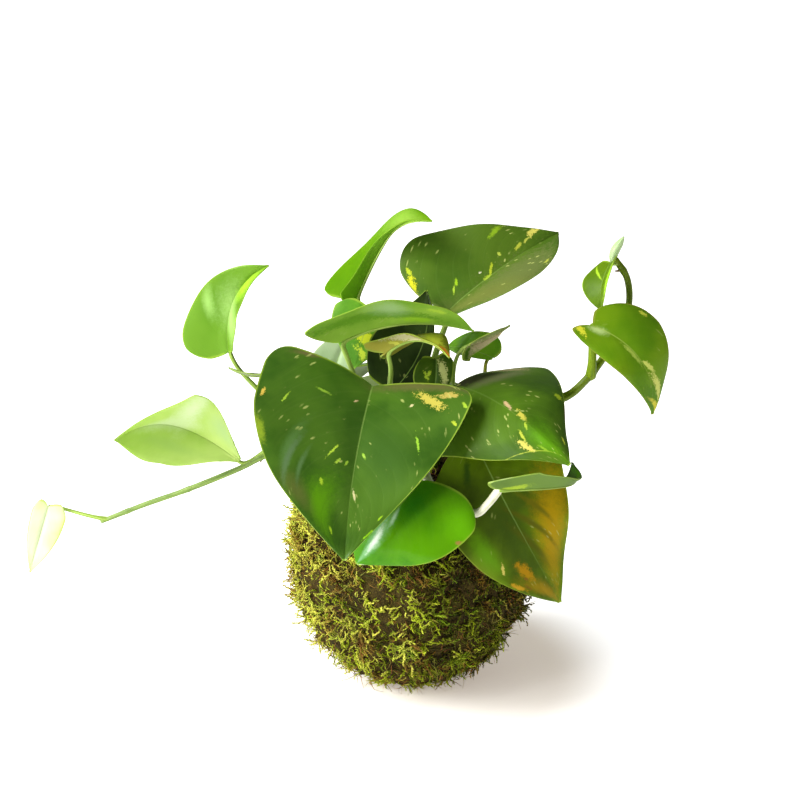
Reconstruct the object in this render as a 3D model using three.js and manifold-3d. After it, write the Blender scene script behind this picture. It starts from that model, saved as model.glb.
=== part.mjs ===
// A kokedama: a trailing pothos that grows out of a ball of soil wrapped in sheet moss.
// Millimetres, +Z up. The origin is the middle of the flat spot that the ball rests on,
// +X points to the trailing shoot on the right and -Y to the front.
import * as THREE from "three";
import { mergeVertices } from "three/addons/utils/BufferGeometryUtils.js";
import Module from "manifold-3d";

const wasm = await Module();
wasm.setup();

// The ball
const ball = {
  radius: 59, // of the moss mat, without its longest tufts
  widestZ: 72,
  depthBelow: 76, // half axis below the widest line, cut off by the flat spot
  depthAbove: 48,
  mossThickness: 9,
  mouthRadius: 25, // where the plant comes out
  facetDetail: 8,
  lump: 1.5,
  tuft: 0.8,
};
const clearance = 0.3; // between two pieces that rest on each other

// The soil and the nursery plug inside it
const soil = { seatRadius: 23, floorRadius: 16, floorZ: 62, rimZ: 105, sides: 24 };
const plug = { seatGap: 0.4, rimZ: 108, topZ: 110, topRadius: 20 };
const stemFootZ = 86; // how far down the stems stand in the plug

const thread = { radius: 0.5, turns: 5, topZ: 108, bottomZ: 14, stepsPerTurn: 20, sides: 4 };

// What a leaf has unless it says otherwise. start is its width at the stalk as a share of its widest,
// widest the share of its length where that is, taper how full it stays towards the tip, lobePeak how far
// out, as a share of the half width, the two lobes reach back most, and round how much of the half width the
// round corner of each lobe takes.
const blade = {
  thickness: 0.8,
  rows: 8,
  columns: 4,
  tipHalfWidth: 0.5,
  start: 0.77,
  widest: 0.14,
  taper: 1.9,
  lobePeak: 0.8,
  round: 0.3,
  roundLength: 0.4, // how long the round corner is, as a share of the leaf's length, where round is 1
};
const stalk = { sides: 5, steps: 7, footSwell: 1.15, topShare: 0.8, insert: 1.5 };

const stemSides = 7;

// The stems, each through the points that it passes, with its radius at the foot and at the end.
const stems = {
  stem_left: {
    colour: "#8fae4a",
    radius: [1.7, 1.2],
    steps: 22,
    points: [[-9, -8, stemFootZ], [-10, -9, 112], [-17, -16, 129], [-42, -28, 136], [-70.8, -30, 127],
      [-79, -30, 122.5], [-106, -30, 110.8], [-128, -28, 102], [-149, -25, 92.4]],
  },
  stem_right: {
    colour: "#7d9c33",
    radius: [2.6, 1.5],
    steps: 28,
    points: [[11, 5, stemFootZ], [12, 5, 112], [20, 6, 129], [46, 6, 143], [74, -3, 148], [83.6, -5, 156.9],
      [91.6, 0, 165.4], [101, 6, 180], [105, 8, 191.7], [103.8, 10, 204.1], [98.2, 10, 213]],
  },
  stem_back_left: {
    colour: "#86a63f",
    radius: [2.4, 1.8],
    steps: 12,
    points: [[-10, 8, stemFootZ], [-11, 8, 112], [-20, 6, 132], [-44, 2, 138], [-66, -3, 138]],
  },
  stem_front: {
    colour: "#c9c9a4",
    radius: [2.3, 1.9],
    steps: 20,
    points: [[5, -12, stemFootZ], [5.5, -13, 112], [7, -28, 127], [6, -45, 125], [15, -56, 113],
      [29.4, -60, 110.4], [34.5, -64, 116.5], [39.8, -66, 124.8]],
  },
  stem_middle: {
    colour: "#86a63f",
    radius: [2.6, 2],
    steps: 9,
    points: [[-3, -1, stemFootZ], [-3.5, -2, 112], [-6, -5, 130], [-11, -6, 150]],
  },
  stem_middle_right: {
    colour: "#86a63f",
    radius: [2.6, 2],
    steps: 9,
    points: [[5, 10, stemFootZ], [5.5, 10, 112], [8, 10, 130], [10, 12, 148]],
  },
  stem_back: {
    colour: "#86a63f",
    radius: [2.3, 1.8],
    steps: 12,
    points: [[-4, 15, stemFootZ], [-4.5, 16, 112], [-4, 28, 128], [0, 44, 134], [8, 58, 130]],
  },
};

// The leaves. base is where the stalk meets the blade, tip its point, and face the way its upper side looks.
// half holds the two half widths, fold how far each half lifts from flat and cup how much more it turns
// towards its edge, left then right as seen from above with the tip ahead. arch and bow bend the midrib
// towards the upper side and to the right, and curl turns the tip up. A leaf grows at a share of its stem.
// rise is the way its stalk sets out, arrive the way it comes in, along the blade and square to it, and
// stalk its radius.
const leaves = {
  leaf_front_large: {
    base: [-18.5, -30, 161.7], tip: [-30.9, -90.9, 99.2], face: [0.27, -0.72, 0.64], half: [48, 51.2],
    fold: [25, -1], cup: [0, -8], arch: 7.2, bow: 3.3, twist: -10, curl: 2.8, lobe: [4.7, 8.1],
    lobePeak: 0.89, round: [0.24, 0.25], start: [0.86, 1], widest: [0.03, 0.28], taper: [1.64, 1.73],
    wave: 1.2, rows: 11, columns: 6,
    stem: "stem_middle", at: 0.8, rise: [-0.3, -0.6, 1], arrive: [0.1, 1], stalk: 1.8,
    colour: "#3f7a22",
  },
  leaf_right_large: {
    base: [21.2, -12, 156.6], tip: [71, -67.2, 136.3], face: [-0.1, -0.42, 0.9], half: [45.5, 39.3],
    fold: [-1, -9], cup: [-33, -25], arch: 9.2, bow: 0.4, twist: 5, curl: 0.3, lobe: [2.2, 8.9],
    lobePeak: 0.75, round: [0.43, 0.16], start: [0.76, 0.75], widest: [0.19, 0.14], taper: [1.48, 1.59],
    wave: 1, rows: 10, columns: 6,
    stem: "stem_middle_right", at: 0.75, rise: [0.4, -0.7, 1], arrive: [0.1, 1], stalk: 1.7,
    colour: "#44802a",
  },
  leaf_right_yellowing: {
    base: [31, -43.5, 135.1], tip: [70.9, -56.1, 63.6], face: [0.34, -0.88, 0.34], half: [36.7, 32],
    fold: [6, -3], cup: [5, -10], arch: 1.8, bow: 1.9, twist: -8, curl: -3.3, lobe: [6, 6],
    lobePeak: 0.85, round: [0.12, 0.35], start: [0.85, 0.42], widest: [0.06, 0.21], taper: [1.85, 2.15],
    wave: 1, rows: 10, columns: 6,
    stem: "stem_front", at: 0.36, rise: [0.6, 0.1, 1], arrive: [0.1, 1], stalk: 1.7, colour: "#7d8a1e",
  },
  leaf_front_low: {
    base: [4.5, -58, 125.3], tip: [-25.4, -69.9, 89.8], face: [0.01, -0.95, 0.31], half: [34, 20.3],
    fold: [34, -26], cup: [-36, -8], arch: 7.4, bow: 1.3, twist: -11, curl: 2.3, lobe: [6.3, 4.7],
    lobePeak: 0.85, round: [0.38, 0.15], start: [0.85, 0.69], widest: [0.12, 0.28], taper: [2.16, 2.34],
    wave: 0.7, rows: 10, columns: 6,
    stem: "stem_front", at: 0.5, rise: [0, -0.5, 1], arrive: [0.2, 1], stalk: 1.3, colour: "#46a81c",
  },
  leaf_front_tilted: {
    base: [41.4, -68, 125.2], tip: [80.1, -32.4, 117], face: [-0.41, 0.61, 0.68], half: [6, 15.1],
    fold: [22, 4], cup: [21, 2], arch: -8, bow: 11.2, twist: 10, curl: 8.9, lobe: [1.6, 7.2],
    lobePeak: 0.84, round: [0.42, 0.19], start: [0.85, 0.64], widest: [0.54, 0.22], taper: [2.85, 0.55],
    wave: 0.3,
    stem: "stem_front", at: 0.985, rise: [0.7, 0.1, 0.4], arrive: [1, 0.3], stalk: 1.1,
    colour: "#7fae50",
  },
  leaf_top_large: {
    base: [19.4, 20, 185.9], tip: [73.7, 46.3, 218.8], face: [-0.07, -0.72, 0.69], half: [45.7, 26.4],
    fold: [-1, 46], cup: [3, -5], arch: 2.2, bow: -1.1, twist: 15, curl: -1.4, lobe: [7.2, 7],
    lobePeak: 0.73, round: [0.58, 0.59], start: [0.8, 0.17], widest: [0.03, 0.45], taper: [1.31, 2.16],
    wave: 1, rows: 11, columns: 6,
    stem: "stem_middle_right", at: 0.88, rise: [-0.1, 0.5, 1], arrive: [0.4, 0.9], stalk: 1.6,
    colour: "#4d7a25",
  },
  leaf_top_bright: {
    base: [-27.7, 32, 186.9], tip: [1.9, 13.8, 237.7], face: [-0.72, 0.4, 0.56], half: [27, 10.9],
    fold: [58, 41], cup: [-9, -5], arch: 7.4, bow: -11.9, twist: -45, curl: -10.6, lobe: [0, 3.1],
    lobePeak: 0.79, round: [0.2, 0.19], start: [0.83, 0.87], widest: [0.03, 0.03], taper: [1.79, 0.55],
    wave: 0.5,
    stem: "stem_back_left", at: 0.42, rise: [0, 1, 0.7], arrive: [0.3, 0.9], stalk: 1.3,
    colour: "#6dc02a",
  },
  leaf_top_level: {
    base: [-33.4, -18, 180.3], tip: [29, -23, 186.2], face: [-0.08, 0.19, 0.98], half: [25.7, 24.5],
    fold: [20, 37], cup: [-18, -18], arch: 6.5, bow: 1.3, twist: -12, curl: 0.5, lobe: [8.1, 9.5],
    lobePeak: 0.81, round: [0.21, 0.18], start: [0.78, 1], widest: [0.11, 0.18], taper: [1.62, 2.41],
    wave: 0.6,
    stem: "stem_back_left", at: 0.52, rise: [-0.2, -0.4, 1], arrive: [0.1, 1], stalk: 1.4,
    colour: "#74ac3a",
  },
  leaf_cream_edged: {
    base: [-11.8, -15, 174.2], tip: [17, -43.5, 179.6], face: [0.02, 0.2, 0.98], half: [19.6, 12.8],
    fold: [22, 41], cup: [-28, -22], arch: 7, bow: -1.3, twist: -2, curl: 0.2, lobe: [10.2, 5.1],
    lobePeak: 0.82, round: [0.3, 0.19], start: [0.71, 0.81], widest: [0.12, 0.03], taper: [1.67, 0.63],
    wave: 0.5,
    stem: "stem_middle", at: 0.98, rise: [0, -0.3, 1], arrive: [0.1, 1], stalk: 1.3, colour: "#b3ba62",
  },
  leaf_dark_upright: {
    base: [-8.5, 5, 149.3], tip: [7.5, 18.5, 196], face: [0.16, -0.96, 0.22], half: [24.8, 6.2],
    fold: [-2, 8], cup: [6, 9], arch: 3.1, bow: 6.1, twist: -9, lobe: [3.8, 5], lobePeak: 0.78,
    round: [0.3, 0.36], start: [0.67, 0.62], widest: [0.31, 0.22], taper: [2.44, 1.65], wave: 0.5,
    stem: "stem_middle", at: 0.9, rise: [0.1, 0.7, 0.7], arrive: [1, 0.2], stalk: 1.3,
    colour: "#1f4a1c",
  },
  leaf_middle_variegated: {
    base: [-19.1, 17, 184.7], tip: [-28.1, 14, 157.5], face: [-0.1, -0.88, 0.45], half: [12, 19],
    fold: [4, 4], cup: [-10, -10], arch: 3, lobe: [4, 4], wave: 0.5,
    stem: "stem_middle", at: 0.7, rise: [-0.5, 0.9, 0.8], arrive: [0, 1], stalk: 1.2, colour: "#5d8c2c",
  },
  leaf_middle_pale: {
    base: [-38.3, 22, 153.1], tip: [-31, 28, 172], face: [-0.2, -0.9, 0.3], half: [13, 10],
    fold: [8, 8], cup: [0, 0], arch: 1, lobe: [3, 3], wave: 0.3,
    stem: "stem_back_left", at: 0.62, rise: [0.1, 0.8, 0.6], arrive: [1, 0.2], stalk: 1.1,
    colour: "#b4c99a",
  },
  leaf_right_folded: {
    base: [28, 8, 170.9], tip: [48.5, 17.8, 178.4], face: [0.25, -0.86, 0.45], half: [3.4, 7.8],
    fold: [37, 5], cup: [2, -1], arch: -1.5, bow: 1.4, lobe: [0, 6.3], lobePeak: 0.87,
    round: [0.47, 0.02], start: [0.47, 1], widest: [0.49, 0.05], taper: [2.11, 0.4], wave: 0.4,
    stem: "stem_right", at: 0.26, rise: [-0.1, 0.5, 1], arrive: [0.3, 1], stalk: 1.1, colour: "#8aa24b",
  },
  leaf_right_small: {
    base: [40.5, 22, 160.3], tip: [18.1, 35.9, 161.5], face: [-0.44, -0.75, 0.5], half: [4, 11.6],
    fold: [4, 12], cup: [-28, -14], arch: 6.1, bow: 0.9, twist: 1, curl: 0.6, lobe: [0, 2.7],
    lobePeak: 0.78, round: [0.7, 0.57], start: [0.56, 0.74], widest: [0.54, 0.08], taper: [2.09, 1.54],
    wave: 0.3,
    stem: "stem_right", at: 0.34, rise: [0.3, 0.3, 1], arrive: [-0.5, 0.8], stalk: 1.1,
    colour: "#5f9130",
  },
  leaf_middle_hanging: {
    base: [12, 2, 165.5], tip: [9.4, -5.1, 143.1], face: [0.03, -0.95, 0.3], half: [8.3, 11.2],
    fold: [3, 0], cup: [-10, -12], arch: 1.8, bow: -0.9, twist: 5, curl: -0.9, lobe: [3.4, 2],
    lobePeak: 0.82, round: [0.28, 0.29], start: [0.68, 0.66], widest: [0.12, 0.37], taper: [1.95, 1.91],
    wave: 0.4,
    stem: "stem_middle_right", at: 0.98, rise: [0.2, -0.1, 1], arrive: [0.1, 1], stalk: 1.1,
    colour: "#3f6a24",
  },
  leaf_far_right: {
    base: [86, -10, 185.8], tip: [116.8, -14, 142.3], face: [0.15, -0.97, 0.2], half: [20.6, 12.9],
    fold: [4, 10], cup: [-23, -7], arch: 2.4, bow: -8.7, twist: -20, curl: -5, lobe: [2, 9.6],
    lobePeak: 0.89, round: [0.39, 0.43], start: [0.5, 0.61], widest: [0.39, 0.32], taper: [1.32, 2.01],
    wave: 0.6,
    stem: "stem_right", at: 0.66, rise: [0.1, -0.2, 1], arrive: [0, 1], stalk: 2.1, colour: "#5da61f",
  },
  leaf_far_right_young: {
    base: [95.5, 7, 212.1], tip: [90.3, -3.6, 191.6], face: [-0.34, -0.64, 0.69], half: [7.8, 12.4],
    fold: [62, -15], cup: [-6, -14], arch: 3.5, bow: 0.7, twist: -7, curl: -1, lobe: [2, 2.2],
    lobePeak: 0.84, round: [0.16, 0.24], start: [0.73, 0.57], widest: [0.36, 0.42], taper: [2.17, 2.22],
    wave: 0.3,
    stem: "stem_right", at: 0.985, rise: [-0.6, -0.2, 0.3], arrive: [0, 0.4], stalk: 0.9,
    colour: "#6fae28",
  },
  leaf_far_left_high: {
    base: [-86.9, -10, 173.1], tip: [-67.5, -8.1, 214.6], face: [-0.4, -0.89, 0.23], half: [23.9, 20.1],
    fold: [12, 58], cup: [-8, -13], arch: -1.7, bow: -9.5, twist: 5, curl: -1, lobe: [2, 2],
    lobePeak: 0.75, round: [0.52, 0.33], start: [0.74, 0.75], widest: [0.09, 0.23], taper: [1.39, 1.73],
    wave: 0.6,
    stem: "stem_back_left", at: 0.985, rise: [-0.4, -0.1, 0.9], arrive: [0.8, 0.3], stalk: 1.2,
    colour: "#7cbb35",
  },
  leaf_far_left_small: {
    base: [-68, -14, 163], tip: [-87, -15, 166.7], face: [0, 0.3, 0.95], half: [6, 6], fold: [10, 10],
    cup: [0, 0], arch: -2, lobe: [2, 2], wave: 0.2,
    stem: "stem_back_left", at: 0.9, rise: [0.2, -0.5, 1], arrive: [0, 1], stalk: 1, colour: "#8a9c7c",
  },
  leaf_far_left_pale: {
    base: [-81.6, -30, 124.9], tip: [-131.4, -62, 148.8], face: [0.62, -0.57, 0.53], half: [19, 26.9],
    fold: [-22, 75], cup: [-18, 6], arch: -7.1, bow: 14, curl: -6.4, lobe: [0, 0], lobePeak: 0.87,
    round: [0.7, 0.7], start: [0.1, 0.1], widest: [0.5, 0.58], taper: [3.18, 0.55], wave: 0.5,
    stem: "stem_left", at: 0.52, rise: [-0.2, 0, 1], arrive: [1, 0.5], stalk: 1.1, colour: "#a9cf6a",
  },
  leaf_far_left_tip: {
    base: [-175.5, -22, 98.4], tip: [-186, -24, 65.2], face: [0.1, -0.93, 0.35], half: [10, 7],
    fold: [6, 6], cup: [0, 0], arch: 1, lobe: [3, 3], wave: 0.3,
    stem: "stem_left", at: 0.985, rise: [-1, 0, 0.1], arrive: [0, 1], stalk: 0.9, colour: "#a6c83a",
  },
  leaf_back_left: {
    base: [-30, 40, 150], tip: [-56, 84, 112], face: [-0.35, 0.65, 0.68], half: [32, 32], fold: [5, 5],
    cup: [-12, -12], arch: 7, lobe: [8, 8], wave: 1, rows: 10, columns: 6,
    stem: "stem_back", at: 0.5, rise: [-0.6, 0.3, 1], arrive: [0.2, 1], stalk: 1.5, colour: "#47802a",
  },
  leaf_back_middle: {
    base: [3, 62, 134], tip: [-4, 92, 78], face: [0.05, 0.9, 0.42], half: [32, 32], fold: [4, 4],
    cup: [-12, -12], arch: 6, lobe: [8, 8], wave: 1, rows: 10, columns: 6,
    stem: "stem_back", at: 0.97, rise: [0, 0.2, 1], arrive: [0.1, 1], stalk: 1.5, colour: "#4c8a2b",
  },
  leaf_back_right: {
    base: [40, 34, 139], tip: [75, 64, 104], face: [0.3, 0.62, 0.72], half: [28, 28], fold: [5, 5],
    cup: [-12, -12], arch: 6, lobe: [7, 7], wave: 0.8, rows: 9, columns: 6,
    stem: "stem_back", at: 0.72, rise: [0.7, 0.1, 1], arrive: [0.2, 1], stalk: 1.4, colour: "#569a2a",
  },
};

// The rolled young leaf at the end of the right stem
const bud = {
  radius: 2.3,
  points: [[96.6, 10, 213.2], [96.7, 10, 214.6], [97.9, 9.6, 218.4], [101, 8, 224.5]],
};

// Helpers

// A repeatable random number from 0 to 1.
function randomFrom(seed) {
  let state = seed;
  return () => {
    state = (state * 1664525 + 1013904223) % 4294967296;
    return state / 4294967296;
  };
}

const radians = THREE.MathUtils.degToRad;

// A closed geometry with shared vertices as a solid that can be joined and cut.
function solidOf(geometry) {
  const bare = geometry.clone();
  bare.deleteAttribute("normal");
  bare.deleteAttribute("uv");
  const merged = mergeVertices(bare, 1e-4);
  return new wasm.Manifold(new wasm.Mesh({
    numProp: 3,
    vertProperties: new Float32Array(merged.attributes.position.array),
    triVerts: new Uint32Array(merged.index.array),
  }));
}

function geometryOf(solid) {
  const mesh = solid.getMesh();
  return new THREE.BufferGeometry()
    .setAttribute("position", new THREE.BufferAttribute(mesh.vertProperties, 3))
    .setIndex(new THREE.BufferAttribute(mesh.triVerts, 1));
}

// A tube with closed ends along a curve. radiusAt gives its radius from 0 at the start to 1 at the end.
function taperedTube(curve, radiusAt, steps, sides) {
  const frames = curve.computeFrenetFrames(steps, false);
  const places = [];
  for (let i = 0; i <= steps; i++) {
    const centre = curve.getPointAt(i / steps);
    for (let j = 0; j < sides; j++) {
      const angle = (2 * Math.PI * j) / sides;
      const out = frames.normals[i].clone().multiplyScalar(Math.cos(angle))
        .addScaledVector(frames.binormals[i], Math.sin(angle));
      places.push(centre.clone().addScaledVector(out, radiusAt(i / steps)));
    }
  }
  const faces = [];
  for (let i = 0; i < steps; i++) {
    for (let j = 0; j < sides; j++) {
      const a = i * sides + j;
      const b = i * sides + ((j + 1) % sides);
      faces.push(a, b, a + sides, b, b + sides, a + sides);
    }
  }
  for (let j = 1; j < sides - 1; j++) {
    const last = steps * sides;
    faces.push(0, j + 1, j, last, last + j, last + j + 1);
  }
  return new THREE.BufferGeometry().setFromPoints(places).setIndex(faces);
}

const curveThrough = (points) =>
  new THREE.CatmullRomCurve3(points.map((p) => new THREE.Vector3(...p)), false, "centripetal");

// The ball

// How far the moss mat stands out of the even egg in the direction of a unit vector.
function lumpAt(u) {
  return ball.lump * (Math.sin(4.3 * u.x + 1.1) * Math.sin(3.7 * u.y - 0.6)
    + 0.6 * Math.sin(7.1 * u.z + 2.3 * u.x) * Math.cos(5.9 * u.y + 1.7));
}

// A point of an egg with the ball's shape, in the direction of a unit vector, inset by some millimetres.
function eggPoint(u, inset) {
  const depth = u.z < 0 ? ball.depthBelow : ball.depthAbove;
  return new THREE.Vector3(
    (ball.radius - inset) * u.x,
    (ball.radius - inset) * u.y,
    ball.widestZ + (depth - inset) * u.z,
  );
}

// The height and radius of the egg's outline, from its bottom up to a chosen height.
function eggProfile(inset, bottomZ, topZ, steps) {
  const angleAt = (z) => {
    const depth = (z < ball.widestZ ? ball.depthBelow : ball.depthAbove) - inset;
    return Math.asin(THREE.MathUtils.clamp((z - ball.widestZ) / depth, -1, 1));
  };
  const first = angleAt(bottomZ);
  const last = angleAt(topZ);
  return Array.from({ length: steps + 1 }, (_, i) => {
    const angle = first + ((last - first) * i) / steps;
    const depth = (angle < 0 ? ball.depthBelow : ball.depthAbove) - inset;
    return new THREE.Vector2((ball.radius - inset) * Math.cos(angle), ball.widestZ + depth * Math.sin(angle));
  });
}

// A closed outline turned round the Z axis. The outline runs from its bottom on the axis outwards and up.
function turned(outline, sides) {
  return new THREE.LatheGeometry(outline, sides).rotateX(Math.PI / 2);
}

// The sheet moss: an egg with a tufted skin, hollow for the soil and open round the stems.
function mossCover() {
  const random = randomFrom(11);
  const skin = new THREE.IcosahedronGeometry(1, ball.facetDetail);
  skin.deleteAttribute("normal");
  skin.deleteAttribute("uv");
  const merged = mergeVertices(skin, 1e-4);
  const position = merged.attributes.position;
  const u = new THREE.Vector3();
  for (let i = 0; i < position.count; i++) {
    u.fromBufferAttribute(position, i).normalize();
    const raise = lumpAt(u) + ball.tuft * (2 * random() - 1);
    const p = eggPoint(u, 0).addScaledVector(u, raise);
    position.setXYZ(i, p.x, p.y, Math.max(p.z, 0));
  }
  const hollow = [
    new THREE.Vector2(0, ball.mossThickness),
    ...eggProfile(ball.mossThickness, ball.mossThickness, soil.rimZ, 9),
    new THREE.Vector2(ball.mouthRadius, soil.rimZ + clearance),
    new THREE.Vector2(ball.mouthRadius, ball.widestZ + 2 * ball.depthAbove),
    new THREE.Vector2(0, ball.widestZ + 2 * ball.depthAbove),
  ];
  return solidOf(merged).subtract(solidOf(turned(hollow, soil.sides)));
}

// The ball of soil mix, with a seat for the plug.
function soilBall() {
  const inset = ball.mossThickness + clearance;
  const outline = [
    new THREE.Vector2(0, inset),
    ...eggProfile(inset, inset, soil.rimZ - clearance, 9),
    new THREE.Vector2(soil.seatRadius, soil.rimZ - clearance),
    new THREE.Vector2(soil.floorRadius, soil.floorZ),
    new THREE.Vector2(0, soil.floorZ),
  ];
  return solidOf(turned(outline, soil.sides));
}

// The nursery plug of roots and peat that the stems stand in.
function rootPlug(stemCutters) {
  const outline = [
    new THREE.Vector2(0, soil.floorZ + plug.seatGap),
    new THREE.Vector2(soil.floorRadius - plug.seatGap, soil.floorZ + plug.seatGap),
    new THREE.Vector2(soil.seatRadius - plug.seatGap, soil.rimZ),
    new THREE.Vector2(plug.topRadius, plug.rimZ),
    new THREE.Vector2(0, plug.topZ),
  ];
  return stemCutters.reduce((rest, cutter) => rest.subtract(cutter), solidOf(turned(outline, soil.sides)));
}

// The thread that binds the moss on, one run wound from the neck to the foot.
function bindingThread() {
  const steps = thread.turns * thread.stepsPerTurn;
  const points = Array.from({ length: steps + 1 }, (_, i) => {
    const angle = (2 * Math.PI * i) / thread.stepsPerTurn;
    const z = THREE.MathUtils.lerp(thread.topZ, thread.bottomZ, i / steps);
    const depth = z < ball.widestZ ? ball.depthBelow : ball.depthAbove;
    const sine = (z - ball.widestZ) / depth;
    const cosine = Math.sqrt(1 - sine * sine);
    const u = new THREE.Vector3(cosine * Math.cos(angle), cosine * Math.sin(angle), sine);
    return eggPoint(u, 0).addScaledVector(u, lumpAt(u) + ball.tuft + thread.radius + 2 * clearance);
  });
  const curve = new THREE.CatmullRomCurve3(points);
  return solidOf(taperedTube(curve, () => thread.radius, steps, thread.sides));
}

// The plant

const stemCurve = (name) => curveThrough(stems[name].points);

// A stem as a solid. extra widens it where it cuts the room for itself.
function stemSolid(name, extra = 0) {
  const { radius, steps } = stems[name];
  const radiusAt = (t) => THREE.MathUtils.lerp(...radius, t) + extra;
  return solidOf(taperedTube(stemCurve(name), radiusAt, steps, stemSides));
}

// Half width of a leaf as a share of its widest, at a share s of its length. hand is 0 left and 1 right.
function outlineAt(leaf, s, hand) {
  const widest = leaf.widest?.[hand] ?? blade.widest;
  if (s < widest) return 1 - (1 - (leaf.start?.[hand] ?? blade.start)) * (1 - s / widest) ** 2;
  return 1 - ((s - widest) / (1 - widest)) ** (leaf.taper?.[hand] ?? blade.taper);
}

// How far a point slides back along the midrib, as a share, to round the two lobes at the stalk.
function lobeAt(leaf, s, reach) {
  const peak = leaf.lobePeak ?? blade.lobePeak;
  const fade = Math.max(0, 1 - s / 0.4) ** 1.5;
  if (reach < peak) return fade * Math.sin((Math.PI / 2) * (reach / peak) ** 0.7);
  return fade * (1 - 0.35 * ((reach - peak) / (1 - peak)) ** 2);
}

// Where a place of the square grid lands on the leaf once the lobes' corners are rounded.
function cornerRounded(leaf, s, reach, hand) {
  const wide = leaf.round?.[hand] ?? blade.round;
  const long = blade.roundLength * wide;
  const u = Math.max(0, 1 - s / long);
  const v = Math.max(0, 1 - (1 - reach) / wide);
  if (u * v === 0) return [s, reach];
  return [long * (1 - u * Math.sqrt(1 - v ** 2 / 2)), 1 - wide * (1 - v * Math.sqrt(1 - u ** 2 / 2))];
}

// The three directions of a leaf at a share s of its midrib, and the point there.
function midribFrame(leaf, s) {
  const base = new THREE.Vector3(...leaf.base);
  const tip = new THREE.Vector3(...leaf.tip);
  const chord = tip.clone().sub(base);
  const along = chord.clone().normalize();
  const up = new THREE.Vector3(...leaf.face).projectOnPlane(along).normalize();
  const right = along.clone().cross(up);
  const bend = (x) => base.clone().addScaledVector(chord, x)
    .addScaledVector(up, (leaf.arch ?? 0) * 4 * x * (1 - x) + (leaf.curl ?? 0) * Math.max(0, 2 * x - 1) ** 2)
    .addScaledVector(right, (leaf.bow ?? 0) * 4 * x * (1 - x));
  const point = bend(s);
  const ahead = bend(s + 0.01).sub(bend(s - 0.01)).normalize();
  const lifted = up.clone().projectOnPlane(ahead).normalize()
    .applyAxisAngle(ahead, radians((leaf.twist ?? 0) * s));
  return { point, ahead, lifted, side: ahead.clone().cross(lifted) };
}

// A point of the blade's middle surface. across runs from -1 at the left edge to 1 at the right.
function bladePoint(leaf, place, across) {
  const hand = across < 0 ? 0 : 1;
  const [s, reach] = cornerRounded(leaf, place, Math.abs(across), hand);
  const { point, ahead, lifted, side } = midribFrame(leaf, s);
  const half = Math.max(leaf.half[hand] * outlineAt(leaf, s, hand), blade.tipHalfWidth);
  const fold = radians(leaf.fold[hand]);
  const cup = radians(leaf.cup[hand]) || 1e-6;
  const out = (half * (Math.sin(fold + cup * reach) - Math.sin(fold))) / cup;
  const lift = (half * (Math.cos(fold) - Math.cos(fold + cup * reach))) / cup;
  const ripple = (leaf.wave ?? 0) * reach ** 2 * Math.sin(2 * Math.PI * (2.2 * s + 0.37 * hand));
  return point
    .addScaledVector(side, Math.sign(across) * out)
    .addScaledVector(lifted, lift + ripple)
    .addScaledVector(ahead, -leaf.lobe[hand] * lobeAt(leaf, s, reach));
}

// The way that the upper side looks at a point of the blade.
function bladeNormal(leaf, s, across) {
  const step = 0.02;
  const ahead = bladePoint(leaf, Math.min(s + step, 1), across)
    .sub(bladePoint(leaf, Math.max(s - step, 0), across));
  const outwards = bladePoint(leaf, s, Math.min(across + step, 1))
    .sub(bladePoint(leaf, s, Math.max(across - step, -1)));
  return outwards.cross(ahead).normalize();
}

// The blade: a grid over the leaf, given its thickness and closed along the rim.
function bladeGeometry(leaf) {
  const rows = leaf.rows ?? blade.rows;
  const columns = leaf.columns ?? blade.columns;
  const places = [];
  for (const height of [blade.thickness / 2, -blade.thickness / 2]) {
    for (let i = 0; i <= rows; i++) {
      for (let j = 0; j <= columns; j++) {
        const s = i / rows;
        const across = (2 * j) / columns - 1;
        places.push(bladePoint(leaf, s, across).addScaledVector(bladeNormal(leaf, s, across), height));
      }
    }
  }
  const faces = [];
  const under = (rows + 1) * (columns + 1);
  const at = (i, j) => i * (columns + 1) + j;
  for (let i = 0; i < rows; i++) {
    for (let j = 0; j < columns; j++) {
      const [a, b, c, d] = [at(i, j), at(i, j + 1), at(i + 1, j + 1), at(i + 1, j)];
      faces.push(a, b, c, a, c, d);
      faces.push(under + a, under + c, under + b, under + a, under + d, under + c);
    }
  }
  const rim = [];
  for (let j = 0; j < columns; j++) rim.push(at(0, j));
  for (let i = 0; i < rows; i++) rim.push(at(i, columns));
  for (let j = columns; j > 0; j--) rim.push(at(rows, j));
  for (let i = rows; i > 0; i--) rim.push(at(i, 0));
  rim.forEach((a, k) => {
    const b = rim[(k + 1) % rim.length];
    faces.push(a, under + a, under + b, a, under + b, b);
  });
  return new THREE.BufferGeometry().setFromPoints(places).setIndex(faces);
}

// The stalk, from the middle of the stem up to the underside of the blade.
function stalkGeometry(leaf) {
  const foot = stemCurve(leaf.stem).getPointAt(leaf.at);
  const { point, ahead, lifted } = midribFrame(leaf, 0);
  const reach = foot.distanceTo(point);
  const rise = new THREE.Vector3(...leaf.rise).normalize();
  const arrive = ahead.clone().multiplyScalar(leaf.arrive[0]).addScaledVector(lifted, leaf.arrive[1]);
  const curve = new THREE.CubicBezierCurve3(
    foot,
    foot.clone().addScaledVector(rise, 0.4 * reach),
    point.clone().addScaledVector(arrive, -0.35 * reach),
    point.clone().addScaledVector(ahead, stalk.insert),
  );
  const radiusAt = (t) => leaf.stalk * THREE.MathUtils.lerp(stalk.footSwell, stalk.topShare, t);
  return taperedTube(curve, radiusAt, stalk.steps, stalk.sides);
}

// The bud: a spindle that stands on the end of its stem.
function budSolid() {
  const radiusAt = (t) => bud.radius * Math.sin(Math.PI * (0.22 + 0.72 * t)) ** 0.8;
  return solidOf(taperedTube(curveThrough(bud.points), radiusAt, 6, 6));
}

function leafSolid(leaf, cutter) {
  return solidOf(bladeGeometry(leaf)).add(solidOf(stalkGeometry(leaf))).subtract(cutter);
}

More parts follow.
